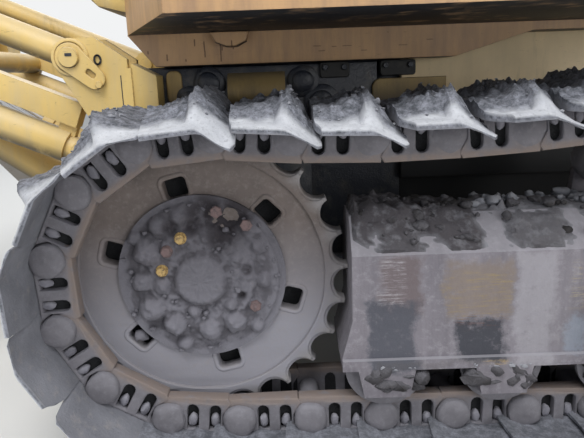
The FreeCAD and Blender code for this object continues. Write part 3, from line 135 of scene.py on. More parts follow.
def mesh_lists(mesh):
    verts = np.empty(len(mesh.vertices) * 3)
    mesh.vertices.foreach_get("co", verts)
    return verts.reshape(-1, 3), [tuple(p.vertices) for p in mesh.polygons]


def turned(profile, steps=24):
    """Solid of revolution about W through (radius, w) points, closed on its axis."""
    verts, faces = [], []
    for radius, w in profile:
        for i in range(steps):
            a = 2 * math.pi * i / steps
            verts.append((radius * math.cos(a), radius * math.sin(a), w))
    for ring in range(len(profile) - 1):
        for i in range(steps):
            j = (i + 1) % steps
            faces.append((ring * steps + i, ring * steps + j, (ring + 1) * steps + j, (ring + 1) * steps + i))
    faces.append(tuple(range(steps))[::-1])
    faces.append(tuple(range((len(profile) - 1) * steps, len(profile) * steps)))
    return np.array(verts), faces


def slab(top, bottom):
    """Closed body between two grids of points of the same size."""
    rows, cols = top.shape[:2]
    verts = np.concatenate((bottom.reshape(-1, 3), top.reshape(-1, 3)))
    over = rows * cols
    faces = []
    for i in range(rows - 1):
        for j in range(cols - 1):
            a, b, c, d = i * cols + j, (i + 1) * cols + j, (i + 1) * cols + j + 1, i * cols + j + 1
            faces.append((a, d, c, b))
            faces.append((over + a, over + b, over + c, over + d))
    ring = [(i, 0) for i in range(rows)] + [(rows - 1, j) for j in range(1, cols)]
    ring += [(i, cols - 1) for i in range(rows - 2, -1, -1)] + [(0, j) for j in range(cols - 2, 0, -1)]
    for (i, j), (k, n) in zip(ring, ring[1:] + ring[:1]):
        a, b = i * cols + j, k * cols + n
        faces.append((a, b, over + b, over + a))
    return verts, faces


def smooth(low, high, value):
    """0 below low, 1 above high, and an easy rise between them."""
    t = np.clip((np.asarray(value, dtype=float) - low) / (high - low), 0.0, 1.0)
    return t * t * (3 - 2 * t)


def rough(points, size, seed, octaves=2):
    """Noise of about -1 to 1 at each point, whose largest waves are about size long."""
    offset = Vector((seed * 7.31, seed * 3.17, seed * 5.77))
    flat = np.asarray(points).reshape(-1, 3)
    values = np.zeros(len(flat))
    for i, co in enumerate(flat):
        place = Vector(co) / size
        for octave in range(octaves):
            values[i] += noise.noise(place * 2.2 ** octave + offset) / 1.7 ** octave
    return values.reshape(np.asarray(points).shape[:-1])


def swept(profile, stations):
    """Closed (u, v) profile carried along w through the given stations."""
    count = len(profile)
    verts = [(u, v, w) for w in stations for u, v in profile]
    faces = []
    for s in range(len(stations) - 1):
        for i in range(count):
            j = (i + 1) % count
            faces.append((s * count + i, s * count + j, (s + 1) * count + j, (s + 1) * count + i))
    faces.append(tuple(range(count))[::-1])
    faces.append(tuple(range((len(stations) - 1) * count, len(stations) * count)))
    return np.array(verts), faces


def ball(steps=2):
    bm = bmesh.new()
    bmesh.ops.create_icosphere(bm, subdivisions=steps, radius=1.0)
    verts = np.array([v.co[:] for v in bm.verts])
    faces = [tuple(v.index for v in f.verts) for f in bm.faces]
    bm.free()
    return verts, faces


def hexagon_head(across, height):
    """Bolt head with a chamfered top, standing along W from 0."""
    r = across / math.sqrt(3)
    verts, faces = [], []
    for radius, w in [(r, 0.0), (r, height * 0.8), (r * 0.86, height)]:
        for i in range(6):
            a = math.pi / 3 * i
            verts.append((radius * math.cos(a), radius * math.sin(a), w))
    for ring in range(2):
        for i in range(6):
            j = (i + 1) % 6
            faces.append((ring * 6 + i, ring * 6 + j, ring * 6 + 6 + j, ring * 6 + 6 + i))
    faces.append(tuple(range(12, 18)))
    faces.append(tuple(range(6))[::-1])
    return np.array(verts), faces


def placed(shape, matrix, wear=None):
    verts, faces = shape[0], shape[1]
    m = np.array(matrix)
    moved = verts @ m[:3, :3].T + m[:3, 3]
    return moved, faces, wear


def shaken(verts, amount, size, seed):
    """Vertices moved by smooth noise whose waves are about size long."""
    offset = Vector((seed * 7.31, seed * 3.17, seed * 5.77))
    moved = np.array(verts, dtype=float)
    for i, co in enumerate(verts):
        moved[i] += np.array(noise.noise_vector(Vector(co) / size + offset)) * amount
    return moved


def make_piece(name, chunks, material, body, sharp_deg=38, node=None):
    """One object from (verts, faces, wear) chunks, riding on a body."""
    verts, faces, wear = [], [], []
    base = 0
    for chunk in chunks:
        v, f = chunk[0], chunk[1]
        w = chunk[2] if len(chunk) > 2 and chunk[2] is not None else np.zeros(len(v))
        verts.append(v)
        wear.append(w)
        faces += [tuple(base + i for i in face) for face in f]
        base += len(v)
    mesh = bpy.data.meshes.new(name)
    mesh.from_pydata(np.concatenate(verts).tolist(), [], faces)
    layer = mesh.attributes.new("worn", "FLOAT", "POINT")
    layer.data.foreach_set("value", np.concatenate(wear).astype(np.float32))
    bm = bmesh.new()
    bm.from_mesh(mesh)
    bmesh.ops.recalc_face_normals(bm, faces=bm.faces)
    bm.to_mesh(mesh)
    bm.free()
    mesh.shade_smooth()
    mesh.set_sharp_from_angle(angle=math.radians(sharp_deg))
    mesh.materials.append(material)
    piece = bpy.data.objects.new(name, mesh)
    bpy.context.scene.collection.objects.link(piece)
    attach(piece, body)
    if node:
        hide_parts(*([node] if isinstance(node, str) else node))
    return piece


def softened(node, width, material, body, steps=2, angle_deg=30):
    """Copy of a node with its edges rounded, in place of the node."""
    mesh = NODES[node].data.copy()
    mesh.materials.clear()
    bm = bmesh.new()
    bm.from_mesh(mesh)
    bmesh.ops.remove_doubles(bm, verts=bm.verts, dist=1e-5)
    bmesh.ops.dissolve_limit(bm, angle_limit=math.radians(1.5), verts=bm.verts, edges=bm.edges)
    edges = [e for e in bm.edges if len(e.link_faces) == 2 and e.calc_face_angle(0) > math.radians(angle_deg)]
    bmesh.ops.bevel(bm, geom=edges, offset=width, segments=steps, profile=0.6, affect="EDGES", clamp_overlap=True)
    bmesh.ops.triangulate(bm, faces=[f for f in bm.faces if len(f.verts) > 4])
    bm.to_mesh(mesh)
    bm.free()
    mesh.shade_smooth()
    mesh.set_sharp_from_angle(angle=math.radians(28))
    mesh.materials.append(material)
    piece = bpy.data.objects.new(node + "_finish", mesh)
    bpy.context.scene.collection.objects.link(piece)
    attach(piece, body)
    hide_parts(node)
    return piece


def cushion_grid(length, width, height, channels, crown):
    """Closed crowned pad with its underside on W = 0: sides pull in between the corners, and sewn channels run across."""
    rows, cols = 40, 40
    s, t = np.meshgrid(np.linspace(-1, 1, rows), np.linspace(-1, 1, cols), indexing="ij")
    pull = 0.016
    U = s * (length / 2 - pull * (1 - t ** 2))
    V = t * (width / 2 - pull * (1 - s ** 2))
    dome = (1 - np.abs(s) ** 5) ** 0.42 * (1 - np.abs(t) ** 5) ** 0.42
    W = height * (0.42 + 0.58 * dome) + crown * (1 - s ** 2) * (1 - t ** 2)
    for middle in channels:
        W = W - 0.011 * np.exp(-((U - middle) / 0.009) ** 2) * dome
    seam = np.exp(-((np.abs(t) - 0.80) / 0.022) ** 2) + np.exp(-((np.abs(s) - 0.84) / 0.022) ** 2)
    W = W - 0.006 * np.clip(seam, 0, 1) * dome
    W = W + 0.0016 * rough(np.stack((U, V, W), 2), 0.09, 3)
    return np.stack((U, V, W), 2), np.stack((U, V, W * 0), 2)


def billowed(name, shape, material, body, cap):
    """Cushion swelled from inside as cloth, no point moving more than the cap."""
    piece = make_piece(name, [shape], material, body, 60)
    rest = np.array(shape[0])
    scene = bpy.context.scene
    cloth = piece.modifiers.new("swell", "CLOTH")
    cloth.settings.effector_weights.gravity = 0.0
    cloth.settings.use_pressure = True
    cloth.settings.uniform_pressure_force = 4.0
    cloth.settings.tension_stiffness = 25
    cloth.settings.compression_stiffness = 25
    cloth.settings.shear_stiffness = 15
    for step in range(1, 21):
        scene.frame_set(step)
    swelled = piece.evaluated_get(bpy.context.evaluated_depsgraph_get()).to_mesh()
    moved = mesh_lists(swelled)[0] - rest
    piece.evaluated_get(bpy.context.evaluated_depsgraph_get()).to_mesh_clear()
    piece.modifiers.clear()
    scene.frame_set(1)
    far = np.linalg.norm(moved, axis=1, keepdims=True)
    moved *= np.minimum(1.0, cap / np.maximum(far, 1e-9))
    piece.data.vertices.foreach_set("co", (rest + moved).ravel().astype(np.float32))
    piece.data.update()
    return piece


class DOZER_OT_seat(bpy.types.Operator):
    """Operator's seat: crowned seat and back cushions with sewn channels, on their pedestal and shell"""
    bl_idname = "dozer.seat"
    bl_label = "Seat"

    def execute(self, context):
        x0 = SPROCKET.x
        floor = 1.292
        seat = slab(*cushion_grid(0.50, 0.485, 0.125, (-0.08, 0.02, 0.12), 0.012))
        place = Matrix.Translation((x0 + 0.645, 0, floor + 0.262))
        pad = billowed("seat_cushion", placed(seat, place)[:2], FINISH["vinyl"], "tractor", 0.006)
        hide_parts("seat")
        lean = math.atan2(0.130, 0.600)
        low, high = math.sin(lean), math.cos(lean)
        upright = Matrix(((-low, 0, high, x0 + 0.344), (0, -1, 0, 0), (high, 0, low, floor + 0.686), (0, 0, 0, 1)))
        back = slab(*cushion_grid(0.54, 0.445, 0.085, (-0.12, 0.0, 0.12), 0.010))
        rest = billowed("back_cushion", placed(back, upright)[:2], FINISH["vinyl"], "tractor", 0.006)
        pan = plate([rounded_quad(0.235, 0.225, 0.04)], 0.012, 0.005, 2)
        shell = plate([rounded_quad(0.285, 0.222, 0.05)], 0.012, 0.005, 2)
        stand = plate([rounded_quad(0.165, 0.205, 0.03)], 0.120, 0.008, 2)
        rail = swept(rounded_quad(0.020, 0.014, 0.005), [-0.16, 0.16])
        chunks = [placed(pan, Matrix.Translation((x0 + 0.64, 0, floor + 0.252))), placed(stand, Matrix.Translation((x0 + 0.59, 0, floor + 0.118))),
                  placed(shell, upright @ Matrix.Translation((0, 0, -0.014)))]
        for side in (-1, 1):
            chunks.append(placed(rail, Matrix.Translation((x0 + 0.60, side * 0.15, floor + 0.016)) @ Matrix.Rotation(math.pi / 2, 4, "Y")))
        make_piece("seat_shell", chunks, FINISH["plastic"], "tractor")
        return {"FINISHED"}


def side_matrix(x, z, y, angle=0.0, side=-1):
    """Frame whose U and V lie in the machine's side view and whose W points outward on that side."""
    c, s = math.cos(angle), math.sin(angle)
    return Matrix(((c, -s, 0, x), (0, 0, side, y), (s, c, 0, z), (0, 0, 0, 1)))


# Materials

def linear(hex_text):
    """Linear colour from an sRGB hex value."""
    values = [int(hex_text[i:i + 2], 16) / 255 for i in (1, 3, 5)]
    return tuple(c / 12.92 if c <= 0.04045 else ((c + 0.055) / 1.055) ** 2.4 for c in values) + (1.0,)


def add_node(tree, kind, settings=None, links=None):
    node = tree.nodes.new(kind)
    for key, value in (settings or {}).items():
        if isinstance(key, int) or key in node.inputs:
            node.inputs[key].default_value = value
        else:
            setattr(node, key, value)
    for key, source in (links or {}).items():
        tree.links.new(source, node.inputs[key])
    return node


def per_metre(millimetres):
    return 1000.0 / millimetres


def new_material(name):
    material = bpy.data.materials.new(name)
    material.use_nodes = True
    tree = material.node_tree
    tree.nodes.clear()
    out = add_node(tree, "ShaderNodeOutputMaterial")
    shader = add_node(tree, "ShaderNodeBsdfPrincipled")
    tree.links.new(shader.outputs[0], out.inputs[0])
    place = add_node(tree, "ShaderNodeTexCoord").outputs["Object"]
    return material, tree, shader, place


def speckle(tree, place, size_mm, detail=4, rough=0.6, low=0.35, high=0.65):
    """Noise of a given size stretched between two levels, as a 0 to 1 value."""
    cloud = add_node(tree, "ShaderNodeTexNoise", {"Scale": per_metre(size_mm), "Detail": detail, "Roughness": rough}, {"Vector": place})
    return add_node(tree, "ShaderNodeMapRange", {"From Min": low, "From Max": high}, {"Value": cloud.outputs["Fac"]}).outputs[0]


def blend_colour(tree, amount, first, second):
    mix = add_node(tree, "ShaderNodeMix", {"data_type": "RGBA"})
    if isinstance(amount, float):
        mix.inputs[0].default_value = amount
    else:
        tree.links.new(amount, mix.inputs[0])
    for socket, value in ((mix.inputs[6], first), (mix.inputs[7], second)):
        if isinstance(value, tuple):
            socket.default_value = value
        else:
            tree.links.new(value, socket)
    return mix.outputs[2]


def product(tree, a, b, operation="MULTIPLY"):
    node = add_node(tree, "ShaderNodeMath", {"operation": operation, "use_clamp": True})
    for socket, value in ((node.inputs[0], a), (node.inputs[1], b)):
        if isinstance(value, (int, float)):
            socket.default_value = value
        else:
            tree.links.new(value, socket)
    return node.outputs[0]


def upward(tree, low=0.15, high=0.85):
    """How far a face looks up, from the surface's own normal in the machine's frame."""
    normal = add_node(tree, "ShaderNodeNewGeometry").outputs["Normal"]
    split = add_node(tree, "ShaderNodeSeparateXYZ", links={0: normal})
    return add_node(tree, "ShaderNodeMapRange", {"From Min": low, "From Max": high}, {"Value": split.outputs[2]}).outputs[0]


def patch(tree, place, x_range, z_range, edge, wander):
    """1 inside a ragged box in the machine's side view and 0 outside; the frame's own X and Z, in metres."""
    cloud = add_node(tree, "ShaderNodeTexNoise", {"Scale": 14.0, "Detail": 6, "Roughness": 0.7}, {"Vector": place})
    shift = add_node(tree, "ShaderNodeVectorMath", {"operation": "SUBTRACT", 1: (0.5, 0.5, 0.5)}, {0: cloud.outputs["Color"]}).outputs[0]
    moved = add_node(tree, "ShaderNodeVectorMath", {"operation": "SCALE", "Scale": wander}, {0: shift}).outputs[0]
    moved = add_node(tree, "ShaderNodeVectorMath", {"operation": "ADD"}, {0: moved, 1: place}).outputs[0]
    split = add_node(tree, "ShaderNodeSeparateXYZ", links={0: moved})
    inside = None
    for socket, (low, high) in ((0, x_range), (2, z_range)):
        for start, end in ((low, low + edge), (high, high - edge)):
            side = add_node(tree, "ShaderNodeMapRange", {"From Min": start, "From Max": end}, {"Value": split.outputs[socket]}).outputs[0]
            inside = side if inside is None else product(tree, inside, side)
    return inside


def shade(colour, factor):
    """The same hex colour made darker or lighter."""
    return tuple(min(1.0, c * factor) for c in linear(colour)[:3]) + (1.0,)


def bumped(tree, shader, place, layers):
    """Bump from (size in mm, depth in mm) noise layers."""
    last = None
    for size_mm, depth_mm in layers:
        cloud = add_node(tree, "ShaderNodeTexNoise", {"Scale": per_metre(size_mm), "Detail": 5, "Roughness": 0.62}, {"Vector": place})
        links = {"Height": cloud.outputs["Fac"]}
        if last:
            links["Normal"] = last
        last = add_node(tree, "ShaderNodeBump", {"Strength": 1.0, "Distance": depth_mm / 1000}, links).outputs[0]
    tree.links.new(last, shader.inputs["Normal"])


def clay_material(name, dry, pale, damp, damp_low=0.62, pale_share=0.8, rough=0.9, worn=None, bumps=((60, 9), (9, 2.2), (1.6, 0.5)), shade_by_height=None):
    """Dried clay as flung and baked on; the last argument gives a second colour that takes over between two heights, as
    painted shade that darkens the upper part.
    """
    material, tree, shader, place = new_material(name)
    tone = blend_colour(tree, speckle(tree, place, 90, 5), linear(dry), shade(dry, 0.74))
    # Painted shade: the colour changes with height, so the parts under the overhanging shoes come out darker
    if shade_by_height:
        split = add_node(tree, "ShaderNodeSeparateXYZ", links={0: place})
        low = add_node(tree, "ShaderNodeMapRange", {"From Min": shade_by_height[2], "From Max": shade_by_height[1]}, {"Value": split.outputs[2]}).outputs[0]
        tone = blend_colour(tree, low, tone, linear(shade_by_height[0]))
    tone = blend_colour(tree, product(tree, speckle(tree, place, 14, 6, 0.7, 0.5, 0.75), 0.4), tone, linear(pale))
    dust = product(tree, upward(tree), speckle(tree, place, 120, 5, 0.65, 0.2, 0.5))
    tone = blend_colour(tree, product(tree, dust, pale_share), tone, linear(pale))
    wet = speckle(tree, place, 170, 4, 0.6, damp_low, damp_low + 0.08)
    tone = blend_colour(tree, wet, tone, linear(damp))
    if worn:
        mark = add_node(tree, "ShaderNodeAttribute", {"attribute_name": "worn"}).outputs["Fac"]
        mark = product(tree, mark, speckle(tree, place, 30, 5, 0.6, 0.2, 0.5))
        tone = blend_colour(tree, mark, tone, linear(worn))
    tree.links.new(tone, shader.inputs["Base Color"])
    shader.inputs["Roughness"].default_value = rough
    bumped(tree, shader, place, bumps)
    return material


def shoe_material(name, pale, damp):
    """Rolled shoe under clay: a grey film where the worn layer is 0, dark crumbs at a half and pale crust at 1."""
    material, tree, shader, place = new_material(name)
    inner = blend_colour(tree, speckle(tree, place, 140, 5), linear("#85868D"), linear("#6F7077"))
    inner = blend_colour(tree, product(tree, speckle(tree, place, 40, 6, 0.7, 0.55, 0.7), 0.5), inner, linear("#97928F"))
    split = add_node(tree, "ShaderNodeSeparateXYZ", links={0: place})
    # Painted shade: the grey film darkens low down, toward the ground under the shoes
    low = add_node(tree, "ShaderNodeMapRange", {"From Min": 0.13, "From Max": 0.05}, {"Value": split.outputs[2]}).outputs[0]
    inner = blend_colour(tree, low, inner, linear("#595B63"))
    # The crumb tones, used inboard, are dark partly from the clay's grain and partly as painted shade under the hull
    crumb = blend_colour(tree, speckle(tree, place, 22, 6, 0.74, 0.38, 0.66), linear("#4D5056"), linear("#9496A0"))
    crumb = blend_colour(tree, product(tree, speckle(tree, place, 7, 4, 0.7, 0.52, 0.66), 0.75), crumb, linear("#46484D"))
    crust = blend_colour(tree, speckle(tree, place, 60, 5, 0.7, 0.35, 0.65), linear(pale), linear("#CBCDD2"))
    crust = blend_colour(tree, product(tree, speckle(tree, place, 9, 5, 0.7, 0.55, 0.70), 0.7), crust, linear("#85878D"))
    mark = add_node(tree, "ShaderNodeAttribute", {"attribute_name": "worn"}).outputs["Fac"]
    outside = add_node(tree, "ShaderNodeMapRange", {"From Min": 0.0, "From Max": 0.45}, {"Value": mark}).outputs[0]
    edge = add_node(tree, "ShaderNodeMapRange", {"From Min": 0.55, "From Max": 0.95}, {"Value": mark}).outputs[0]
    tone = blend_colour(tree, outside, inner, blend_colour(tree, edge, crumb, crust))
    tone = blend_colour(tree, product(tree, speckle(tree, place, 150, 4, 0.6, 0.7, 0.78), 0.8), tone, linear(damp))
    tree.links.new(tone, shader.inputs["Base Color"])
    shader.inputs["Roughness"].default_value = 0.92
    bumped(tree, shader, place, ((60, 3), (9, 2.2), (1.6, 0.6)))
    return material


# Frame patches: colour, range along the frame from the sprocket's axis, height range, and how strong the patch is

FRAME_STAINS = (("#655A5C", (0.478, 0.605), (0.42, 0.60), 0.85), ("#494B54", (0.445, 0.596), (0.26, 0.47), 0.92), ("#7A6E66", (0.655, 0.850), (0.41, 0.58), 0.75),
                ("#35373F", (0.682, 0.838), (0.285, 0.415), 0.95), ("#9B999F", (0.845, 0.965), (0.27, 0.60), 0.6), ("#8E98A6", (0.980, 1.060), (0.30, 0.42), 0.6),
                ("#5E5D63", (1.330, 1.460), (0.30, 0.52), 0.8), ("#6A676C", (1.75, 2.05), (0.28, 0.50), 0.7), ("#55504F", (0.46, 0.80), (0.275, 0.305), 0.5))

def frame_material(name):
    """Welded track frame: clay film with wipe marks, damp stains, and enamel scraped bare in thin scratches."""
    material, tree, shader, place = new_material(name)
    x0 = SPROCKET.x
    streak = add_node(tree, "ShaderNodeMapping", {"Scale": (1.0, 1.0, 0.10)}, {"Vector": place}).outputs[0]
    scratch = add_node(tree, "ShaderNodeMapping", {"Scale": (0.07, 1.0, 1.0)}, {"Vector": place}).outputs[0]
    tone = blend_colour(tree, speckle(tree, streak, 70, 5, 0.6, 0.35, 0.65), linear("#827E85"), linear("#6B676E"))
    tone = blend_colour(tree, product(tree, speckle(tree, place, 20, 6, 0.7, 0.5, 0.72), 0.5), tone, linear("#9C9A9F"))
    for colour, (low, high), z_range, share in FRAME_STAINS:
        spot = patch(tree, place, (x0 + low, x0 + high), z_range, 0.02, 0.10)
        spot = product(tree, spot, speckle(tree, place, 34, 7, 0.72, 0.18, 0.46))
        tone = blend_colour(tree, product(tree, spot, share), tone, linear(colour))
    # Scratches 4 mm wide and some 60 mm long, left by stones
    thin = product(tree, speckle(tree, scratch, 5, 8, 0.8, 0.50, 0.58), speckle(tree, place, 26, 7, 0.75, 0.36, 0.56))
    for colour, (low, high), z_range, share in (("#8E7E5C", (0.650, 0.850), (0.40, 0.555), 0.65), ("#65463E", (0.680, 0.840), (0.375, 0.425), 0.6),
                                               ("#A69A7C", (0.985, 1.09), (0.42, 0.57), 0.6), ("#C6A763", (0.755, 0.840), (0.280, 0.303), 0.9),
                                               ("#B9B7BC", (0.478, 0.56), (0.45, 0.60), 0.5)):
        spot = product(tree, patch(tree, place, (x0 + low, x0 + high), z_range, 0.015, 0.06), thin)
        tone = blend_colour(tree, product(tree, spot, share), tone, linear(colour))
    tone = blend_colour(tree, product(tree, upward(tree, 0.3, 0.8), 0.6), tone, linear("#A3A2A8"))
    tree.links.new(tone, shader.inputs["Base Color"])
    shader.inputs["Roughness"].default_value = 0.8
    bumped(tree, shader, place, ((110, 4), (12, 1.6), (1.6, 0.5)))
    return material


def enamel_material(name, colour, dust_hex="#B5A384", dust_share=0.5, chips=0.5, grime="#3A3028", soot_and_shade_height=None, under=0.85, below="#26272A", marks=()):
    """Sprayed machine enamel, faded and scuffed; a height can be given below which it turns black, from oily dirt and
    painted shade, and under gives how dark the painted shade is on faces that look down.
    """
    material, tree, shader, place = new_material(name)
    tone = blend_colour(tree, speckle(tree, place, 260, 4), linear(colour), shade(colour, 0.84))
    streak = add_node(tree, "ShaderNodeMapping", {"Scale": (1.0, 1.0, 0.14)}, {"Vector": place}).outputs[0]
    film = product(tree, speckle(tree, streak, 60, 6, 0.7, 0.42, 0.75), dust_share)
    tone = blend_colour(tree, film, tone, linear(dust_hex))
    tone = blend_colour(tree, product(tree, upward(tree), dust_share), tone, linear(dust_hex))
    dirt = product(tree, speckle(tree, streak, 130, 6, 0.7, 0.6, 0.8), 0.6)
    tone = blend_colour(tree, dirt, tone, linear(grime))
    scuff = add_node(tree, "ShaderNodeMapping", {"Rotation": (0.3, 0.9, 0.2), "Scale": (0.16, 1.0, 1.0)}, {"Vector": place}).outputs[0]
    scuff = product(tree, speckle(tree, scuff, 7, 5, 0.7, 0.64, 0.7), 0.5)
    tone = blend_colour(tree, scuff, tone, linear("#7B6545"))
    # Painted shade: faces that look down turn toward the dark under colour
    painted_underside_shade = product(tree, upward(tree, -0.15, -0.75), speckle(tree, place, 90, 5, 0.65, 0.2, 0.45))
    tone = blend_colour(tree, product(tree, painted_underside_shade, under), tone, linear(below))
    # Black below a height: oily dirt, and on the hull painted shade low down behind the tracks
    if soot_and_shade_height:
        split = add_node(tree, "ShaderNodeSeparateXYZ", links={0: place})
        low = add_node(tree, "ShaderNodeMapRange", {"From Min": soot_and_shade_height + 0.05, "From Max": soot_and_shade_height - 0.06}, {"Value": split.outputs[2]}).outputs[0]
        ragged = product(tree, low, speckle(tree, streak, 80, 6, 0.7, 0.35, 0.6), "ADD")
        tone = blend_colour(tree, product(tree, ragged, low), tone, linear("#17181A"))
    for mark, x_range, z_range, share in marks:
        spot = patch(tree, place, [SPROCKET.x + x for x in x_range], z_range, 0.0022, 0.007)
        tone = blend_colour(tree, product(tree, spot, share), tone, linear(mark))
    soft = add_node(tree, "ShaderNodeBevel", {"samples": 4, "Radius": 0.006}).outputs[0]
    hard = add_node(tree, "ShaderNodeNewGeometry").outputs["Normal"]
    align = add_node(tree, "ShaderNodeVectorMath", {"operation": "DOT_PRODUCT"}, {0: soft, 1: hard}).outputs["Value"]
    rim = add_node(tree, "ShaderNodeMapRange", {"From Min": 0.995, "From Max": 0.9}, {"Value": align}).outputs[0]
    chip = product(tree, product(tree, rim, speckle(tree, place, 16, 6, 0.75, 0.45, 0.6)), chips)
    spot = product(tree, speckle(tree, place, 26, 8, 0.75, 0.67, 0.7), chips)
    rust = product(tree, chip, spot, "ADD")
    tone = blend_colour(tree, rust, tone, linear("#5A3A22"))
    tree.links.new(tone, shader.inputs["Base Color"])
    shader.inputs["Roughness"].default_value = 0.5
    bumped(tree, shader, place, ((160, 1.6), (5, 0.25)))
    return material


def plain_material(name, colour, rough, metallic=0.0, patch=None, patch_mm=60, patch_low=0.5, bumps=((30, 1.0), (3, 0.3)), ior=None):
    """One base finish with a second tone in patches."""
    material, tree, shader, place = new_material(name)
    base = linear(colour)
    tone = blend_colour(tree, speckle(tree, place, patch_mm, 6, 0.65, patch_low, patch_low + 0.2), base, linear(patch or colour))
    tree.links.new(tone, shader.inputs["Base Color"])
    shader.inputs["Roughness"].default_value = rough
    shader.inputs["Metallic"].default_value = metallic
    if ior:
        shader.inputs["IOR"].default_value = ior
    bumped(tree, shader, place, bumps)
    return material


def glass_material(name):
    """Tempered float glass, dusty: clear with a faint grey-green film."""
    material, tree, shader, place = new_material(name)
    shader.inputs["Base Color"].default_value = linear("#DCE6E2")
    shader.inputs["Roughness"].default_value = 0.06
    shader.inputs["Transmission Weight"].default_value = 0.9
    shader.inputs["IOR"].default_value = 1.5
    shader.inputs["Alpha"].default_value = 0.55
    bumped(tree, shader, place, ((300, 0.3),))
    return material


FINISH = {}

# Rust drips on the deck's side: place along from the sprocket's axis, foot and height; then scrapes: place, height and length
DECK_DRIPS = ((-0.187, 1.146, 0.012), (-0.127, 1.124, 0.023), (-0.067, 1.120, 0.010), (-0.035, 1.166, 0.024), (-0.005, 1.131, 0.052), (0.047, 1.116, 0.058), (0.052, 1.150, 0.014), (0.087, 1.153, 0.027))
DECK_SCRAPES = ((0.346, 1.152, 0.027), (0.362, 1.137, 0.024), (0.405, 1.149, 0.018), (0.440, 1.150, 0.032), (0.500, 1.134, 0.020), (0.62, 1.146, 0.030), (0.71, 1.160, 0.022))


def make_finishes():
    colours = bpy.context.scene.dozer_colours
    dry, pale, damp, enamel = colours.dry_mud, colours.pale_mud, colours.damp_mud, colours.enamel
    # Forged link steel under a rubbed clay film: dull grey sides, and a warmer, slightly smoother brown where rollers
    # rub the rail; the links of the top run are darker as painted shade under the shoes
    FINISH["link"] = clay_material("clay_on_forged_links", "#76747A", "#8E8D94", damp, 0.74, 0.45, 0.8, "#80746E", ((70, 2.5), (8, 0.8), (1.5, 0.3)), ("#4F4D54", 0.955, 0.89))
    # Turned nuts with clay baked over them: duller and a little paler than the link, no metal shine
    FINISH["nut"] = clay_material("clay_on_turned_nuts", "#82818A", "#9E9DA4", damp, 0.72, 0.6, 0.88, None, ((12, 2.5), (3, 0.8)))
    # Rolled shoes: an even grey film inside, painted darker low down as shade, and whitish crumbs and dark crevices on
    # the side that meets the ground, the crumbs inboard darker partly as painted shade under the hull
    FINISH["shoe"] = shoe_material("clay_on_rolled_shoes", "#B3B5BB", damp)
    # Crumbled clay: matt lumps, bluish grey, paler on top
    FINISH["clod"] = clay_material("crumbled_clay", "#7E8087", "#A9AAB0", damp, 0.66, 0.7, 0.95, None, ((18, 5), (4, 2), (1.2, 0.6)))
    # Crust on the frames: dry and pale, and damp dark brown where the worn layer marks it
    FINISH["crust"] = clay_material("caked_clay_crust", "#7C7C82", "#A2A2A8", "#3E3B3B", 0.7, 0.55, 0.92, "#484549", ((22, 6), (6, 2.6), (1.4, 0.7)))
    # Damp clay: darker and browner, with a faint wet sheen
    FINISH["wet_clod"] = clay_material("damp_clay_crust", "#4C4A4E", "#737278", "#2A2829", 0.5, 0.45, 0.82, None, ((20, 6), (5, 2.5), (1.2, 0.6)))
    # Cast steel disc under a thin clay film: smooth and brownish grey, rubbed greyer at the teeth, and greyer and paler
    # towards the bottom, partly the clay's own tone and partly painted shade that darkens the top under the shoes
    FINISH["sprocket"] = clay_material("clay_film_on_cast_sprocket", "#6F6561", "#8E8886", "#665E5C", 0.74, 0.4, 0.74, "#8D8A8B", ((130, 1.6), (11, 0.5), (1.4, 0.2)), ("#8C8B93", SPROCKET.z - 0.16, SPROCKET.z + 0.16))
    # Clay packed on the hub: greenish grey lumps, paler grey towards the bottom with the top darker as painted shade
    # under the shoes, and black grease where the worn layer marks the leak; the worn layer also carries painted shade
    # in the crevices
    FINISH["hub"] = clay_material("packed_clay_on_hub", "#65636A", "#7B7980", "#58535A", 0.7, 0.45, 0.86, "#2F2B30", ((30, 3), (6, 1.6), (1.4, 0.7)), ("#77767E", SPROCKET.z - 0.14, SPROCKET.z + 0.10))
    # Packed damp mud in holes and windows: nearly black, without shine, standing both for mud and for painted shade in
    # their depth
    FINISH["pit"] = clay_material("damp_mud_and_painted_shade", "#1F2023", "#2C2D31", "#151517", 0.6, 0.2, 0.95, None, ((20, 4), (5, 2)))
    # Clay film wiped into streaks on rolled plate, damp stains, and thin scratches down to the enamel
    FINISH["frame"] = frame_material("clay_film_on_welded_frame")
    # Sprayed enamel on sheet and castings: soft half gloss, faded, with dust runs, scuffs and rust at chipped edges
    FINISH["enamel"] = enamel_material("faded_machine_enamel", enamel, "#C4B493", 0.5)
    # The same enamel low on the hull, in a paler colour that is partly cleaner paint and partly painted light under the
    # deck: oily and black where the tracks throw dirt, and black also as painted shade low down behind the tracks
    FINISH["hull"] = enamel_material("sooty_hull_enamel_with_painted_light_and_shade", "#F0D8AC", "#CDB994", 0.4, 0.35, "#6A5C48", 0.90)
    # Cast cover, its enamel half hidden by oil and soot
    FINISH["cover"] = enamel_material("oily_cover_enamel", "#B59A62", "#6E6350", 0.7, 0.5, "#1C1D20", 1.01)
    # The same enamel on the deck and steps beside the cab: brown with trodden dirt, and painted shade nearly black
    # underneath
    FINISH["deck"] = enamel_material("trodden_deck_enamel", "#C29C72", "#8E7461", 0.8, 0.6, "#4A3A32", None, 1.0, "#1E2024",
                                     [("#3F241D", (x, x + 0.006), (low, low + tall), 0.8) for x, low, tall in DECK_DRIPS] + [("#46352C", (x, x + long), (low, low + 0.0045), 0.7) for x, low, long in DECK_SCRAPES])
    # Cast iron under oil and dust: black, with soft wet highlights and dull yellow left in patches
    FINISH["grease"] = plain_material("greasy_cast_iron", "#282C36", 0.40, 0.0, "#4C4A48", 60, 0.52, ((40, 3), (6, 1.4)))
    # Black enamel baked dull by heat: even charcoal with grey dust
    FINISH["black"] = plain_material("heat_dulled_black_enamel", "#1C1C1C", 0.6, 0.0, "#3A3733", 60, 0.55)
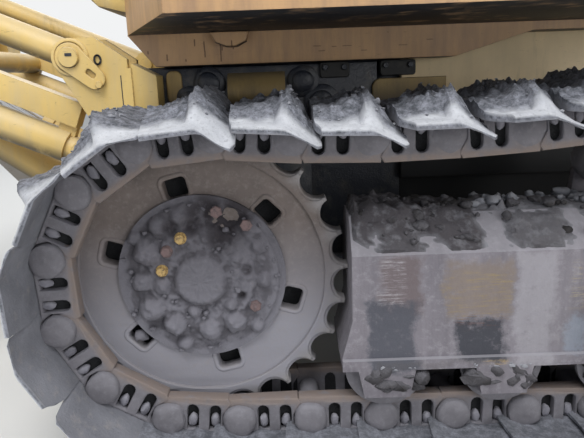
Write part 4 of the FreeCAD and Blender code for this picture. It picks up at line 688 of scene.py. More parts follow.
    # Moulded rubber hose skin: matt black, dusty
    FINISH["rubber"] = plain_material("moulded_black_rubber", "#16171A", 0.7, 0.0, "#37383B", 30, 0.55)
    # Hard chromed and ground rods: bright, mirror-like with fine dust
    FINISH["chrome"] = plain_material("hard_chromed_rod", "#C8C8CA", 0.18, 1.0, "#A8A8A8", 90, 0.6, ((200, 0.1),))
    # Edge steel ground bright by soil: brushed grey metal with brown rust patches
    FINISH["steel"] = plain_material("ground_worn_steel", "#8F8A84", 0.38, 0.85, "#5B4A3A", 50, 0.55, ((60, 1.0), (3, 0.3)))
    # Zinc-plated hose fittings: bright, bluish, lightly scratched
    FINISH["zinc"] = plain_material("zinc_plated_fitting", "#C9CDD2", 0.3, 1.0, "#8B8F93", 12, 0.55, ((10, 0.4),))
    # Embossed vinyl cloth on foam: soft black sheen with fine leather-like grain and worn, dusty folds
    FINISH["vinyl"] = plain_material("embossed_black_vinyl", "#1A1918", 0.5, 0.0, "#33302D", 25, 0.55, ((6, 0.8), (1.2, 0.2)))
    # Moulded plastic console: even dark grey with a fine moulded grain
    FINISH["plastic"] = plain_material("moulded_grey_plastic", "#2B2B2D", 0.55, 0.0, "#3A3A3B", 30, 0.55, ((2, 0.2),))
    # Pressed lamp glass: milky white with a soft gloss
    FINISH["lens"] = plain_material("frosted_lamp_lens", "#D8D8D2", 0.15, 0.0, "#B8B6A8", 20, 0.55, ((6, 0.4),), 1.5)
    # Float glass, tempered: clear, faintly green, with a dusty film
    FINISH["glass"] = glass_material("tempered_float_glass")
    # Bolt heads scraped clean: bright ochre enamel with brown pits
    FINISH["yellow_bolt"] = plain_material("scraped_yellow_bolt", "#B89A62", 0.6, 0.0, "#5E4C38", 7, 0.45)
    # Rusted bolt head: matt reddish brown
    FINISH["rust_bolt"] = plain_material("rusted_bolt_head", "#73605F", 0.85, 0.0, "#544A4C", 10, 0.45)


# Chain path, as the solids have it

TEETH_PER_TURN = 25
LINKS = 39
PIN_LINE = 0.109
IDLER_PIN_R = 0.387
FIRST_PIN_DEG = 81.2
CARRIERS = [(1.15, 0.939), (2.0, 0.930)]
TOP_SAG = 0.0255


BOTTOM_ARCH = 0.002

SHOE_BASE = 0.046

RAIL_LINE = 0.064

BOLT_PLACES = (0.0685, 0.1318)

def chain_path(pitch, idler_x):
    """Pin path in the sprocket's side view, from its top round its back and the idler."""
    pitch_r = pitch / (2 * math.sin(2 * math.pi / TEETH_PER_TURN))
    centre_z = PIN_LINE + pitch_r
    path = []
    for i in range(241):
        a = math.radians(FIRST_PIN_DEG + (270 - FIRST_PIN_DEG) * i / 240)
        path.append((pitch_r * math.cos(a), centre_z + pitch_r * math.sin(a)))
    path += [(idler_x * i / 160, PIN_LINE + 4 * BOTTOM_ARCH * i / 160 * (1 - i / 160)) for i in range(1, 160)]
    for i in range(241):
        a = math.radians(-90 + 178 * i / 240)
        path.append((idler_x + IDLER_PIN_R * math.cos(a), PIN_LINE + IDLER_PIN_R + IDLER_PIN_R * math.sin(a)))
    stops = [path[-1]] + CARRIERS[::-1] + [path[0]]
    for (ax, az), (bx, bz) in zip(stops, stops[1:]):
        sag = TOP_SAG * math.hypot(bx - ax, bz - az) ** 2
        for i in range(1, 61):
            t = i / 60
            path.append((ax + (bx - ax) * t, az + (bz - az) * t - 4 * sag * t * (1 - t)))
    return path


def walk_pins(path, pitch):
    pins, index = [path[0]], 0
    while len(pins) <= LINKS:
        px, pz = pins[-1]
        while index < len(path) - 1 and math.hypot(path[index + 1][0] - px, path[index + 1][1] - pz) < pitch:
            index += 1
        if index >= len(path) - 1:
            return pins
        (ax, az), (bx, bz) = path[index], path[index + 1]
        low, high = 0.0, 1.0
        for _ in range(40):
            t = (low + high) / 2
            if math.hypot(ax + (bx - ax) * t - px, az + (bz - az) * t - pz) < pitch:
                low = t
            else:
                high = t
        pins.append((ax + (bx - ax) * low, az + (bz - az) * low))
    return pins


def link_frames(pitch):
    """Place and angle of each link's first pin, in metres in the machine's side view."""
    idler_x = box_middle("idlers").x - SPROCKET.x
    drop = SPROCKET.z - PIN_LINE - pitch / (2 * math.sin(2 * math.pi / TEETH_PER_TURN))
    pins = walk_pins(chain_path(pitch, idler_x), pitch)[:LINKS]
    frames = []
    for k in range(LINKS):
        (ax, az), (bx, bz) = pins[k], pins[(k + 1) % LINKS]
        frames.append((SPROCKET.x + ax, drop + az, math.atan2(bz - az, bx - ax)))
    return frames


def link_matrix(place, side):
    """U runs to the next pin, V out to the shoe, W outward on that side."""
    x, z, angle = place
    c, s = math.cos(angle), math.sin(angle)
    return Matrix(((c, s, 0, x), (0, 0, side, side * HALF_GAUGE), (s, -c, 0, z), (0, 0, 0, 1)))


GAP_HALF = 0.046

# Clay lumps and buried bolts on the hub: place from the axis in the side view, radius and top height, in millimetres

HUB_LUMPS = ((-46, 181, 33, 60), (-112, 155, 27, 62), (-142, 85, 42, 80), (-164, -5, 31, 68), (-109, -13, 31, 75), (-142, -83, 40, 78),
             (-80, -128, 37, 80), (-23, -90, 22, 82), (18, -153, 37, 72), (88, -125, 37, 76), (54, 193, 19, 59), (134, 153, 22, 59),
             (149, -80, 22, 64), (175, -8, 24, 62), (162, 88, 24, 60), (80, -74, 20, 78), (-88, 88, 27, 68), (-178, 120, 20, 56),
             (-60, -196, 24, 58), (150, -150, 20, 56), (20, 118, 17, 70), (102, 62, 20, 70))

# Greasy hollows: place, radius and depth

HUB_PITS = ((20, 190, 45, 17), (70, 150, 50, 18), (110, 190, 40, 17), (60, 115, 30, 12), (111, -50, 11, 12), (129, 25, 13, 10), (-20, 150, 22, 10),
            (-75, 150, 20, 8))

def hub_grid():
    """Surface of the clay-packed hub as rings round the axis, with its mask of grease and of painted shade in the
    crevices.
    """
    radii = np.concatenate((np.linspace(0.237, 0.216, 8), np.linspace(0.2125, 0.06, 44), np.linspace(0.055, 0.006, 10)))
    turn = np.linspace(0, 2 * math.pi, 241)[:-1]
    R, A = np.meshgrid(radii, turn, indexing="ij")
    U, V = R * np.cos(A), R * np.sin(A)
    flat = np.stack((U, V, U * 0), 2)
    broad = rough(flat, 0.034, 4)
    fine = rough(flat, 0.011, 9)
    base = 0.017 + 0.0115 * smooth(0.2355, 0.232, R) * 1.0 - 0.005 * smooth(0.227, 0.224, R) + 0.0205 * smooth(0.225, 0.215, R)
    buried = smooth(-0.35, 0.35, -np.cos(A - math.radians(35)))
    base = base * (1 - buried) + buried * (0.0185 + 0.026 * smooth(0.237, 0.150, R))
    levels = [base, 0.026 + 0.031 * smooth(0.176, 0.140, R), 0.026 + 0.058 * smooth(0.094, 0.056, R) ** 0.8]
    for x, z, radius, top in HUB_LUMPS:
        d = np.hypot(U - x / 1000, V - z / 1000) / (radius / 1000) * (0.96 + 0.20 * broad + 0.08 * fine)
        levels.append(0.028 + (top / 1000 - 0.028) * np.clip(1 - d ** 2.6 * 0.9, 0, 1) ** 0.6)
    sharp = 520.0
    height = np.log(sum(np.exp(sharp * level) for level in levels)) / sharp
    inside = smooth(0.2235, 0.214, R)
    heaps = smooth(0.215, 0.185, R) * smooth(0.050, 0.075, R)
    height = height + heaps * 0.009 * np.clip(rough(flat, 0.026, 21) + 0.15, 0, 1)
    grease = np.zeros_like(R)
    for x, z, radius, depth in HUB_PITS:
        d = np.hypot(U - x / 1000, V - z / 1000) / (radius / 1000)
        dip = np.exp(-(d * (1 + 0.15 * broad)) ** 4)
        height = height - depth / 1000 * dip * inside
        grease = np.maximum(grease, np.exp(-(d / 1.25) ** 4))
    height = height + inside * (0.0026 * broad + 0.0018 * fine + 0.0010 * rough(flat, 0.005, 12, 1))
    around = sum(np.roll(height, shift, 1) for shift in (-9, -6, -3, 3, 6, 9)) / 6
    around[4:-4] = 0.5 * around[4:-4] + 0.25 * (around[:-8] + around[8:])
    # Painted shade: hollows lower than the clay around them are darkened through the worn layer
    crevice_shade = smooth(0.0008, 0.0045, around - height) * inside
    return np.stack((U, V, height), 2), np.maximum(grease, 0.5 * crevice_shade)


def ring_body(grid, back):
    """Closed body whose front is a grid of rings, from the outermost inward, and whose back is flat."""
    rings, spokes = grid.shape[:2]
    rear = grid[0].copy()
    rear[:, 2] = back
    verts = np.concatenate((grid.reshape(-1, 3), rear))
    faces = []
    for i in range(rings - 1):
        for j in range(spokes):
            k = (j + 1) % spokes
            faces.append((i * spokes + j, i * spokes + k, (i + 1) * spokes + k, (i + 1) * spokes + j))
    last, behind = (rings - 1) * spokes, rings * spokes
    faces.append(tuple(last + j for j in range(spokes)))
    for j in range(spokes):
        k = (j + 1) % spokes
        faces.append((j, behind + j, behind + k, k))
    faces.append(tuple(behind + j for j in range(spokes))[::-1])
    return verts, faces


def flanged_head(across, height):
    """Hexagon head on its round flange."""
    verts, faces = hexagon_head(across, height)
    rim = turned([(0.0, -0.004), (across * 0.66, -0.004), (across * 0.66, 0.002), (across * 0.6, 0.0045), (0.0, 0.0045)], 28)
    lifted = verts + np.array((0, 0, 0.003))
    return np.concatenate((rim[0], lifted)), rim[1] + [tuple(len(rim[0]) + i for i in face) for face in faces]


# Pieces

def arc_points(cx, cy, radius, start_deg, end_deg, steps):
    return [(cx + radius * math.cos(math.radians(start_deg + (end_deg - start_deg) * i / steps)),
             cy + radius * math.sin(math.radians(start_deg + (end_deg - start_deg) * i / steps))) for i in range(steps + 1)]


def link_plate():
    """Side plate of a link: pin boss, straight rail, two round-ended windows and the strut between them."""
    p = 0.2032
    outline = [(-0.032, -RAIL_LINE), (p - 0.036, -RAIL_LINE), (p - 0.026, -0.048), (p - 0.047, -0.012), (p - 0.048, 0.016), (p - 0.026, 0.0455)]
    outline += [(0.020, 0.0455)] + arc_points(0.0, 0.0, 0.0455, 80, 215, 9)
    windows = []
    for centre in BOLT_PLACES:
        half = 0.0165
        windows.append([(centre + half, 0.036), (centre - half, 0.036), (centre - half, -0.026)] + arc_points(centre, -0.026, half, 180, 360, 6)[1:])
    return plate([outline] + windows, 0.0215, 0.0045)


class DOZER_OT_chain(bpy.types.Operator):
    """Links with their bosses, windows, pins, bushings and shoe bolts, on both sides"""
    bl_idname = "dozer.chain"
    bl_label = "Track chain"

    def execute(self, context):
        sizes = context.scene.dozer_chain
        verts, faces = link_plate()
        wear = smooth(0.040, 0.052, -verts[:, 1])
        verts[:, 2] -= np.sign(verts[:, 2]) * 0.0035 * (1 - smooth(-0.02, 0.03, verts[:, 0]))
        low_boss = turned([(0.0, -0.006), (0.052, -0.006), (0.047, -0.001), (0.040, 0.0028), (0.030, 0.0055), (0.016, 0.0075), (0.0, 0.008)], 22)
        mud_boss = turned([(0.0, 0.0), (0.048, 0.0), (0.0478, 0.009), (0.0445, 0.0165), (0.035, 0.0215), (0.018, 0.024), (0.0, 0.0245)], 22)
        bushing = turned([(0.0315, -0.066), (0.0315, 0.066)], 18)
        # Nearly black plates inside the link windows: packed mud, and painted shade in the windows' depth
        window_mud_and_shade = plate([[(0.030, -0.050), (0.168, -0.050), (0.168, 0.040), (0.030, 0.040)]], 0.009, 0.002)
        nut = ball(2)
        for side, word in ((-1, "right"), (1, "left")):
            chunks, bolts, packed = [], [], []
            for k, place in enumerate(link_frames(sizes.pitch)):
                m = link_matrix(place, side)
                upper = place[1] > SPROCKET.z + 0.3
                for row in (1, -1):
                    flip = m @ Matrix.Translation((0, 0, 0.0885 * row))
                    moved, _, _ = placed((verts, faces), flip)
                    chunks.append((shaken(moved, 0.0024, 0.05, k + 3), faces, wear))
                    packed.append(placed(window_mud_and_shade, m @ Matrix.Translation((0, 0, 0.0775 * row))))
                    face = m @ Matrix.Translation((0, 0, 0.1085 * row)) @ Matrix.Diagonal((1, 1, row, 1))
                    moved, boss_faces, _ = placed(low_boss if upper else mud_boss, face)
                    chunks.append((shaken(moved, 0.0045, 0.035, k), boss_faces, None))
                    for centre in BOLT_PLACES:
                        reach = 0.017 + 0.007 * math.sin(k * 5.1 + centre * 90)
                        tip = m @ Matrix.Translation((centre, reach, 0.094 * row)) @ Matrix.Diagonal((0.0135, 0.021, 0.0125, 1))
                        moved, nut_faces, _ = placed(nut, tip)
                        bolts.append((shaken(moved, 0.004, 0.014, k), nut_faces, None))
                chunks.append(placed(bushing, m))
            make_piece("chain_" + word, chunks, FINISH["link"], "tractor", node="track_" + word)
            make_piece("shoe_bolts_" + word, bolts, FINISH["nut"], "tractor")
            make_piece("link_window_mud_and_shade_" + word, packed, FINISH["pit"], "tractor")
        return {"FINISHED"}


# Right-hand shoes in view: how far each one's near end droops, and how much of its rear corner is worn off

DROOP = {34: 0.008, 35: 0.012, 36: 0.015, 37: 0.023, 38: 0.022, 0: 0.024, 1: 0.020, 2: 0.012, 3: -0.004, 4: -0.012, 5: -0.018, 6: -0.020, 7: -0.020, 8: -0.018, 9: -0.014, 10: -0.008}

WORN_CORNER = {35: 0.052, 36: 0.030, 37: 0.016, 38: 0.012, 0: 0.006, 34: 0.040}

FINE_GRID = (34, 50)

PLAIN_GRID = (16, 22)

def shoe_surface(u, near, far, half, sizes):
    """Height of the worn steel over U, for points near and far metres from the two ends."""
    top = SHOE_BASE + sizes.shoe_thick
    bar = sizes.grouser * smooth(0.002, 0.095, near) * (0.25 + 0.75 * smooth(0.0, 0.08, far))
    rear = 1 - smooth(0.026, 0.044, u)
    crest = top + bar * rear
    slope = (u + 0.072) / 0.086
    front = 0.0215 + (top + bar - 0.0215) * np.clip(slope, 0, 1) ** 1.15
    return np.where(u < 0.014, front, crest)


def shoe_body(m, sizes, side, k, grid, crumbs, lower):
    """One shoe with its clay, as a closed slab whose upper grid is the crusted side."""
    half = sizes.shoe_width / 2
    rows, cols = grid
    rng = random.Random(101 * k + 7 + side)
    droop = DROOP.get(k, rng.uniform(0.0, 0.016)) if side < 0 else rng.uniform(0.0, 0.018)
    worn = WORN_CORNER.get(k, rng.uniform(0.006, 0.03)) if side < 0 else rng.uniform(0.006, 0.03)
    steps = np.linspace(0, 1, rows)
    u = -0.072 + 0.221 * (steps * 0.85 + 0.15 * steps ** 2)
    turn = np.linspace(-1, 1, cols)
    w = half * np.sign(turn) * np.abs(turn) ** 0.9
    U, W = np.meshgrid(u, w, indexing="ij")
    near, far = half - W, half + W
    tail = 0.149 - worn * (1 - smooth(0.0, 0.085, near)) ** 1.5 - 0.01 * (1 - smooth(0.0, 0.05, far))
    U = np.where(U > 0.06, 0.06 + (U - 0.06) * (tail - 0.06) / 0.089, U)
    lip_back = 0.010 * (1 - smooth(0.0, 0.02, near)) + 0.006 * rough(np.stack((W * 0, W, W * 0 + k), 2), 0.11, k)
    U = U + np.where(U < 0.0, lip_back * np.clip(-U / 0.072, 0, 1), 0)
    flat = np.stack((U, W, np.full_like(U, k * 0.37)), 2)
    steel = shoe_surface(U, near, far, half, sizes)
    top = SHOE_BASE + sizes.shoe_thick
    broad = rough(flat, 0.075, k + 3)
    coarse = rough(flat, 0.030, k + 11)
    inboard = smooth(0.045, 0.13, near) * smooth(0.0, 0.06, far)
    bank = np.exp(-np.abs(U - 0.046) / 0.028) + 0.5 * np.exp(-np.abs(U + 0.02) / 0.02)
    fill = sizes.mud_thick * crumbs * (0.35 + inboard * (0.9 + 1.5 * bank + 0.9 * broad))
    crust = np.where(U < 0.014, steel + 0.5 * fill * smooth(-0.06, 0.0, U), top + fill)
    height = np.maximum(steel + 0.0022, crust)
    gravel = 0.30 + inboard * (0.7 + 0.9 * smooth(-0.1, 0.5, broad))
    height = height + crumbs * 0.0062 * coarse * gravel + 0.0042 * crumbs * rough(flat, 0.013, k + 23, 1) * gravel
    rim = smooth(0.0, 0.012, near) * smooth(0.0, 0.012, far)
    height = np.maximum(height - (1 - rim) * 0.004, steel)
    under = np.interp(U, [-0.072, -0.06, -0.03, 0.0, 0.15], [0.0165, 0.017, 0.034, SHOE_BASE, SHOE_BASE])
    bend = droop * (1 - smooth(0.0, 0.15, near)) ** 1.2 + rng.uniform(0.0, 0.01) * (1 - smooth(0.0, 0.12, far))
    ear = 0.022 * (1 - smooth(0.0, 0.05, near)) * (1 - smooth(-0.05, 0.02, U)) if side < 0 and k == 0 else 0.0
    over = np.stack((U, height - bend - ear, W), 2)
    piled = 0.0
    if lower:
        piled = (0.006 + 0.010 * smooth(-0.3, 0.6, broad) + 0.004 * coarse) * smooth(0.0, 0.05, near) * smooth(-0.07, -0.02, U)
    base = np.stack((U, under - bend - ear - piled, W), 2)
    verts, faces = slab(over, base)
    moved, _, _ = placed((verts, faces), m)
    count = rows * cols
    bright = smooth(0.085, 0.035, near + 0.02 * broad)
    clay = np.concatenate((np.full(count, 0.28 if lower else 0.0), (0.5 + 0.5 * bright).ravel()))
    return moved, faces, clay, over


class DOZER_OT_shoes(bpy.types.Operator):
    """Shoes with worn bars and bent ends, and the clay crust baked on them"""
    bl_idname = "dozer.shoes"
    bl_label = "Track shoes"

    def execute(self, context):
        sizes = context.scene.dozer_chain
        half = sizes.shoe_width / 2
        for side, word in ((-1, "right"), (1, "left")):
            chunks, clods = [], []
            rng = random.Random(11 + side)
            for k, place in enumerate(link_frames(sizes.pitch)):
                m = link_matrix(place, side)
                up = -math.cos(place[2])
                crumbs = 0.45 + 0.75 * max(up, 0.0)
                moved, faces, clay, over = shoe_body(m, sizes, side, k, FINE_GRID if up > -0.3 and side < 0 else PLAIN_GRID, crumbs, up < -0.9)
                chunks.append((moved, faces, clay))
                if up < 0.35:
                    continue
                rows, cols = over.shape[:2]
                for _ in range(34 if up > 0.8 else 8):
                    i, j = rng.randrange(4, rows - 2), rng.randrange(2, cols - 2)
                    if rng.random() < 0.5:
                        i = rng.randrange(rows // 4, rows // 2)
                    spot = over[i, j]
                    if half - spot[2] < 0.05:
                        continue
                    size = rng.uniform(0.0025, 0.0055) * (1.7 if rng.random() < 0.08 else 1.0)
                    clods.append(clod(m @ Vector((spot[0], spot[1] + size * 0.4, spot[2])), size, rng, 0.8, SMALL_BALL if size < 0.006 else None))
            make_piece("shoes_" + word, chunks, FINISH["shoe"], "tractor", 50)
            make_piece("shoe_clods_" + word, clods, FINISH["clod"], "tractor", 60)
        return {"FINISHED"}


CLOD_BALL = ball(2)
SMALL_BALL = ball(1)


def clod(centre, radius, rng, flat=0.7, shape=None):
    """One crumbled lump of clay."""
    verts, faces = shape or CLOD_BALL
    size = Vector((rng.uniform(0.7, 1.4), rng.uniform(0.7, 1.4), rng.uniform(flat * 0.7, flat * 1.2)))
    turn = Matrix.Rotation(rng.uniform(0, 6.28), 3, "Z")
    out = np.empty_like(verts)
    offset = Vector((rng.uniform(0, 90), rng.uniform(0, 90), rng.uniform(0, 90)))
    for i, co in enumerate(verts):
        p = Vector(co)
        swell = 1.0 + 0.55 * noise.noise(p * 1.3 + offset) + 0.25 * noise.noise(p * 3.1 + offset)
        q = turn @ Vector((p.x * size.x, p.y * size.y, p.z * size.z)) * (radius * swell)
        out[i] = (centre.x + q.x, centre.y + q.y, centre.z + q.z)
    return out, faces, None


def tooth_outline(teeth, tip_r, root_r, inset=0.0):
    """Pointed teeth with round gaps between them, in the sprocket's side view."""
    step = 2 * math.pi / teeth
    first = math.radians(FIRST_PIN_DEG) - 2 * step
    points = []
    for k in range(teeth):
        for i in range(13):
            turn = math.pi * (1 - i / 12)
            a = first + step * k + GAP_HALF * math.cos(turn) / tip_r
            r = tip_r - inset - (tip_r - root_r - inset * 0.3) * math.sin(turn)
            points.append((r * math.cos(a), r * math.sin(a)))
    return points


def rounded_quad(half_u, half_v, corner, steps=4):
    points = []
    for cx, cy, start in ((half_u - corner, half_v - corner, 0), (-half_u + corner, half_v - corner, 90),
                          (-half_u + corner, -half_v + corner, 180), (half_u - corner, -half_v + corner, 270)):
        points += arc_points(cx, cy, corner, start, start + 90, steps)
    return points


def moved_points(points, radius, angle):
    c, s = math.cos(angle), math.sin(angle)
    return [((radius + u) * c - v * s, (radius + u) * s + v * c) for u, v in points]


class DOZER_OT_sprockets(bpy.types.Operator):
    """Toothed sprocket discs with rimmed holes, and the hubs with their packed mud and bolts"""
    bl_idname = "dozer.sprockets"
    bl_label = "Drive sprockets"

    def execute(self, context):
        sizes = context.scene.dozer_sprocket
        dish = arc_points(0.0, 0.0, 0.348, 0, 357.5, 143)
        teeth = tooth_outline(sizes.teeth, sizes.tip_radius, sizes.root_radius)
        inner = tooth_outline(sizes.teeth, sizes.tip_radius, sizes.root_radius, 0.011)
        # A nearly black disc behind the web: painted shade seen through the holes, where the machinery behind lies in
        # shadow
        shade_backing = plate([arc_points(0.0, 0.0, 0.330, 0, 355, 71)], 0.010, 0.004)
        rim_line = arc_points(0.0, 0.0, 0.353, 0, 357.5, 143)
        holes, rims = [], []
        for k in range(6):
            a = math.radians(43.0 + 60 * k)
            holes.append(moved_points(rounded_quad(0.028, 0.033, 0.013), sizes.hole_circle, a))
            rims.append((moved_points(rounded_quad(0.042, 0.047, 0.025), sizes.hole_circle, a), holes[-1]))
        # The hub's worn layer carries the grease and the painted shade in its crevices
        grid, grease = hub_grid()
        hub = ring_body(grid, 0.012)
        grease = np.concatenate((grease.ravel(), grease[0]))
        for side, word in ((-1, "right"), (1, "left")):
            m = side_matrix(SPROCKET.x, SPROCKET.z, side * HALF_GAUGE, 0.0, side)
            parts = [(plate([teeth, dish], 0.0265, 0.005, 2), 0.003), (plate([inner, dish], 0.031, 0.004, 2), 0.0022),
                     (plate([rim_line] + holes, 0.021, 0.002, 1), 0.0016)]
            parts += [(plate([outer, hole], 0.0240, 0.0060, 3), 0.0022) for outer, hole in rims]
            chunks = []
            for shape, shake in parts:
                verts, faces, _ = placed(shape, m)
                r = np.hypot(verts[:, 0] - SPROCKET.x, verts[:, 2] - SPROCKET.z)
                chunks.append((shaken(verts, shake, 0.05, 5), faces, smooth(0.366, 0.392, r)))
            make_piece("sprocket_disc_" + word, chunks, FINISH["sprocket"], "tractor", node="sprockets")
            make_piece("hub_" + word, [placed(hub, m, grease)], FINISH["hub"], "tractor", 55)
            make_piece("web_shade_backing_" + word, [placed(shade_backing, m @ Matrix.Translation((0, 0, -0.042)))], FINISH["pit"], "tractor")
            self.bolts(m, word)
        return {"FINISHED"}

    def bolts(self, m, word):
        rng = random.Random(5)
        clean, rusty, lumps = [], [], []
        for x, z, lift, turn in ((-48, 123, 0.062, 0.3), (-106, 32, 0.062, 0.1)):
            clean.append(placed(flanged_head(0.026, 0.012), m @ Matrix.Translation((x / 1000, z / 1000, lift)) @ Matrix.Rotation(turn, 4, "Z")))
        rusty.append(placed(flanged_head(0.026, 0.009), m @ Matrix.Translation((-0.088, 0.088, 0.066))))
        for x, z, lift in ((54, 193, 0.055), (134, 153, 0.056), (149, -80, 0.060)):
            rusty.append(placed(hexagon_head(0.030, 0.010), m @ Matrix.Translation((x / 1000, z / 1000, lift)) @ Matrix.Rotation(x, 4, "Z")))
        for _ in range(70):
            a = rng.uniform(0, 6.28)
            radius = rng.choice((0.15, 0.10, 0.20, 0.215)) + rng.uniform(-0.014, 0.014)
            lift = 0.064 if radius < 0.14 else 0.045
            lumps.append(clod(m @ Vector((radius * math.cos(a), radius * math.sin(a), lift)), rng.uniform(0.003, 0.009), rng, 0.9, SMALL_BALL))
        blocked = math.radians(223)
        lumps.append(clod(m @ Vector((0.268 * math.cos(blocked), 0.268 * math.sin(blocked), 0.004)), 0.024, rng, 0.9))
        make_piece("scraped_bolts_" + word, clean, FINISH["yellow_bolt"], "tractor")
        make_piece("rusted_bolts_" + word, rusty, FINISH["rust_bolt"], "tractor")
        make_piece("hub_mud_" + word, lumps, FINISH["hub"], "tractor", 60)


# Crust on the track frame: where it lies along the frame and round its section, its thickness, and how damp it is

CRUST_PATCHES = ((0.425, 0.585, 0.30, 0.74, 0.042, 1.0), (0.50, 0.60, 0.80, 1.10, 0.014, 0.9), (0.40, 0.745, 0.20, 0.865, 0.020, 1.0), (0.655, 0.76, 0.78, 1.02, 0.013, 1.0), (0.841, 0.993, 0.70, 1.0, 0.022, 0.75),
                 (0.75, 1.10, 0.15, 0.66, 0.017, 0.45), (1.05, 1.55, 0.05, 0.78, 0.020, 0.7), (1.60, 2.35, 0.10, 0.85, 0.018, 0.5))

def frame_crust(side):
    """Clay lying on the top and the slopes of a track frame, as a slab that sinks into the frame where it is bare."""
    along = np.linspace(0.416, 2.36, 150)
    round_it = np.linspace(0, 1, 34)
    X, S = np.meshgrid(along, round_it, indexing="ij")
    stops = [0.0, 0.32, 0.68, 1.0]
    across = np.interp(S, stops, [-0.144, -0.070, 0.070, 0.144])
    level = np.interp(S, stops, [0.600, 0.690, 0.690, 0.600])
    lean = np.interp(S, [0.0, 0.28, 0.36, 0.64, 0.72, 1.0], [-0.92, -0.92, 0.0, 0.0, 0.92, 0.92])
    flat = np.stack((X, across, level), 2)
    broad, middle, fine = rough(flat, 0.09, 31), rough(flat, 0.03, 37), rough(flat, 0.012, 41, 1)
    thick, damp = -0.004 + 0.005 * broad, np.zeros_like(X)
    for x0, x1, s0, s1, deep, wet in CRUST_PATCHES:
        edge_x, edge_s = 0.03 * middle + 0.02 * broad, 0.10 * middle + 0.06 * broad
        mask = smooth(x0 - 0.012, x0 + 0.012, X + edge_x) * smooth(x1 + 0.012, x1 - 0.012, X + edge_x)
        mask = mask * smooth(s0 - 0.03, s0 + 0.03, S + edge_s) * smooth(s1 + 0.03, s1 - 0.03, S + edge_s)
        thick = np.maximum(thick, mask * deep * (0.7 + 0.5 * middle) - 0.005 * (1 - mask))
        damp = np.maximum(damp, mask * wet)
    thick = thick + np.where(thick > 0, 0.0035 * middle + 0.0022 * fine, 0)
    ends = np.minimum(smooth(0.416, 0.43, X) * smooth(2.36, 2.34, X), smooth(0.0, 0.03, S) * smooth(1.0, 0.97, S))
    thick = thick * ends - 0.005 * (1 - ends)
    rise = np.sqrt(1 - lean ** 2)
    out = np.stack((SPROCKET.x + X, side * (HALF_GAUGE + across + lean * thick), level + rise * thick), 2)
    back = np.stack((SPROCKET.x + X, side * (HALF_GAUGE + across - lean * 0.012), level - rise * 0.012), 2)
    verts, faces = slab(out, back)
    wear = np.concatenate((damp.ravel(), damp.ravel()))
    return verts, faces, wear


def cap_bolt(radius, height):
    """Greasy bolt with a domed cap on a round boss."""
    return turned([(0.0, -0.01), (radius * 1.55, -0.01), (radius * 1.5, height * 0.25), (radius * 1.25, height * 0.42), (radius * 1.02, height * 0.45),
                   (radius, height * 0.8), (radius * 0.8, height), (radius * 0.3, height * 1.08), (0.0, height * 1.1)], 32)


class DOZER_OT_running_gear(bpy.types.Operator):
    """Track frames, rollers and idlers, with the mud that lies on the frames"""
    bl_idname = "dozer.running_gear"
    bl_label = "Frames, rollers and idlers"

    def execute(self, context):
        softened("track_frames", 0.006, FINISH["frame"], "tractor")
        softened("rollers", 0.003, FINISH["link"], "tractor")
        softened("idlers", 0.005, FINISH["link"], "tractor")
        softened("equalizer_bar", 0.006, FINISH["frame"], "tractor")
        for side, word in ((-1, "right"), (1, "left")):
            rng = random.Random(21)
            lumps, wet = [], []
            for _ in range(420):
                x = 0.43 + 1.9 * rng.random() ** 1.15
                across = rng.uniform(-0.115, 0.135)
                slope = max(0.0, abs(across) - 0.07)
                z = 0.690 - slope * 1.2
                r = rng.uniform(0.004, 0.014) * (1.8 if rng.random() < 0.1 else 1.0)
                dark = 0.40 < x < 0.745 or noise.noise(Vector((x * 3.1, across * 6, 4.0))) > 0.08
                group = wet if dark else lumps
                place = Vector((SPROCKET.x + x, side * (HALF_GAUGE + across), z + 0.012 + r * 0.3))
                group.append(clod(place, r, rng, 0.8, SMALL_BALL if r < 0.011 else None))
            for x0, x1, count in ((0.462, 0.593, 26), (0.730, 0.901, 30), (1.05, 1.22, 20), (1.37, 1.53, 20)):
                for _ in range(count):
                    r = rng.uniform(0.006, 0.017)
                    place = Vector((SPROCKET.x + rng.uniform(x0, x1), side * (HALF_GAUGE + rng.uniform(0.140, 0.160)), rng.uniform(0.275, 0.285)))
                    lumps.append(clod(place, r * 0.7, rng, 0.6, SMALL_BALL))
            for x0, x1 in ((0.455, 0.60), (0.725, 0.91), (1.05, 1.22), (1.37, 1.53)):
                for _ in range(20):
                    r = rng.uniform(0.014, 0.030)
                    place = Vector((SPROCKET.x + rng.uniform(x0, x1), side * (HALF_GAUGE + rng.uniform(0.134, 0.146)), rng.uniform(0.218, 0.272)))
                    wet.append(clod(place, r, rng, 0.8))
            make_piece("frame_crust_" + word, [frame_crust(side)], FINISH["crust"], "tractor", 60)
            make_piece("frame_clods_" + word, lumps, FINISH["clod"], "tractor", 60)
            make_piece("frame_wet_clods_" + word, wet, FINISH["wet_clod"], "tractor", 60)
        return {"FINISHED"}


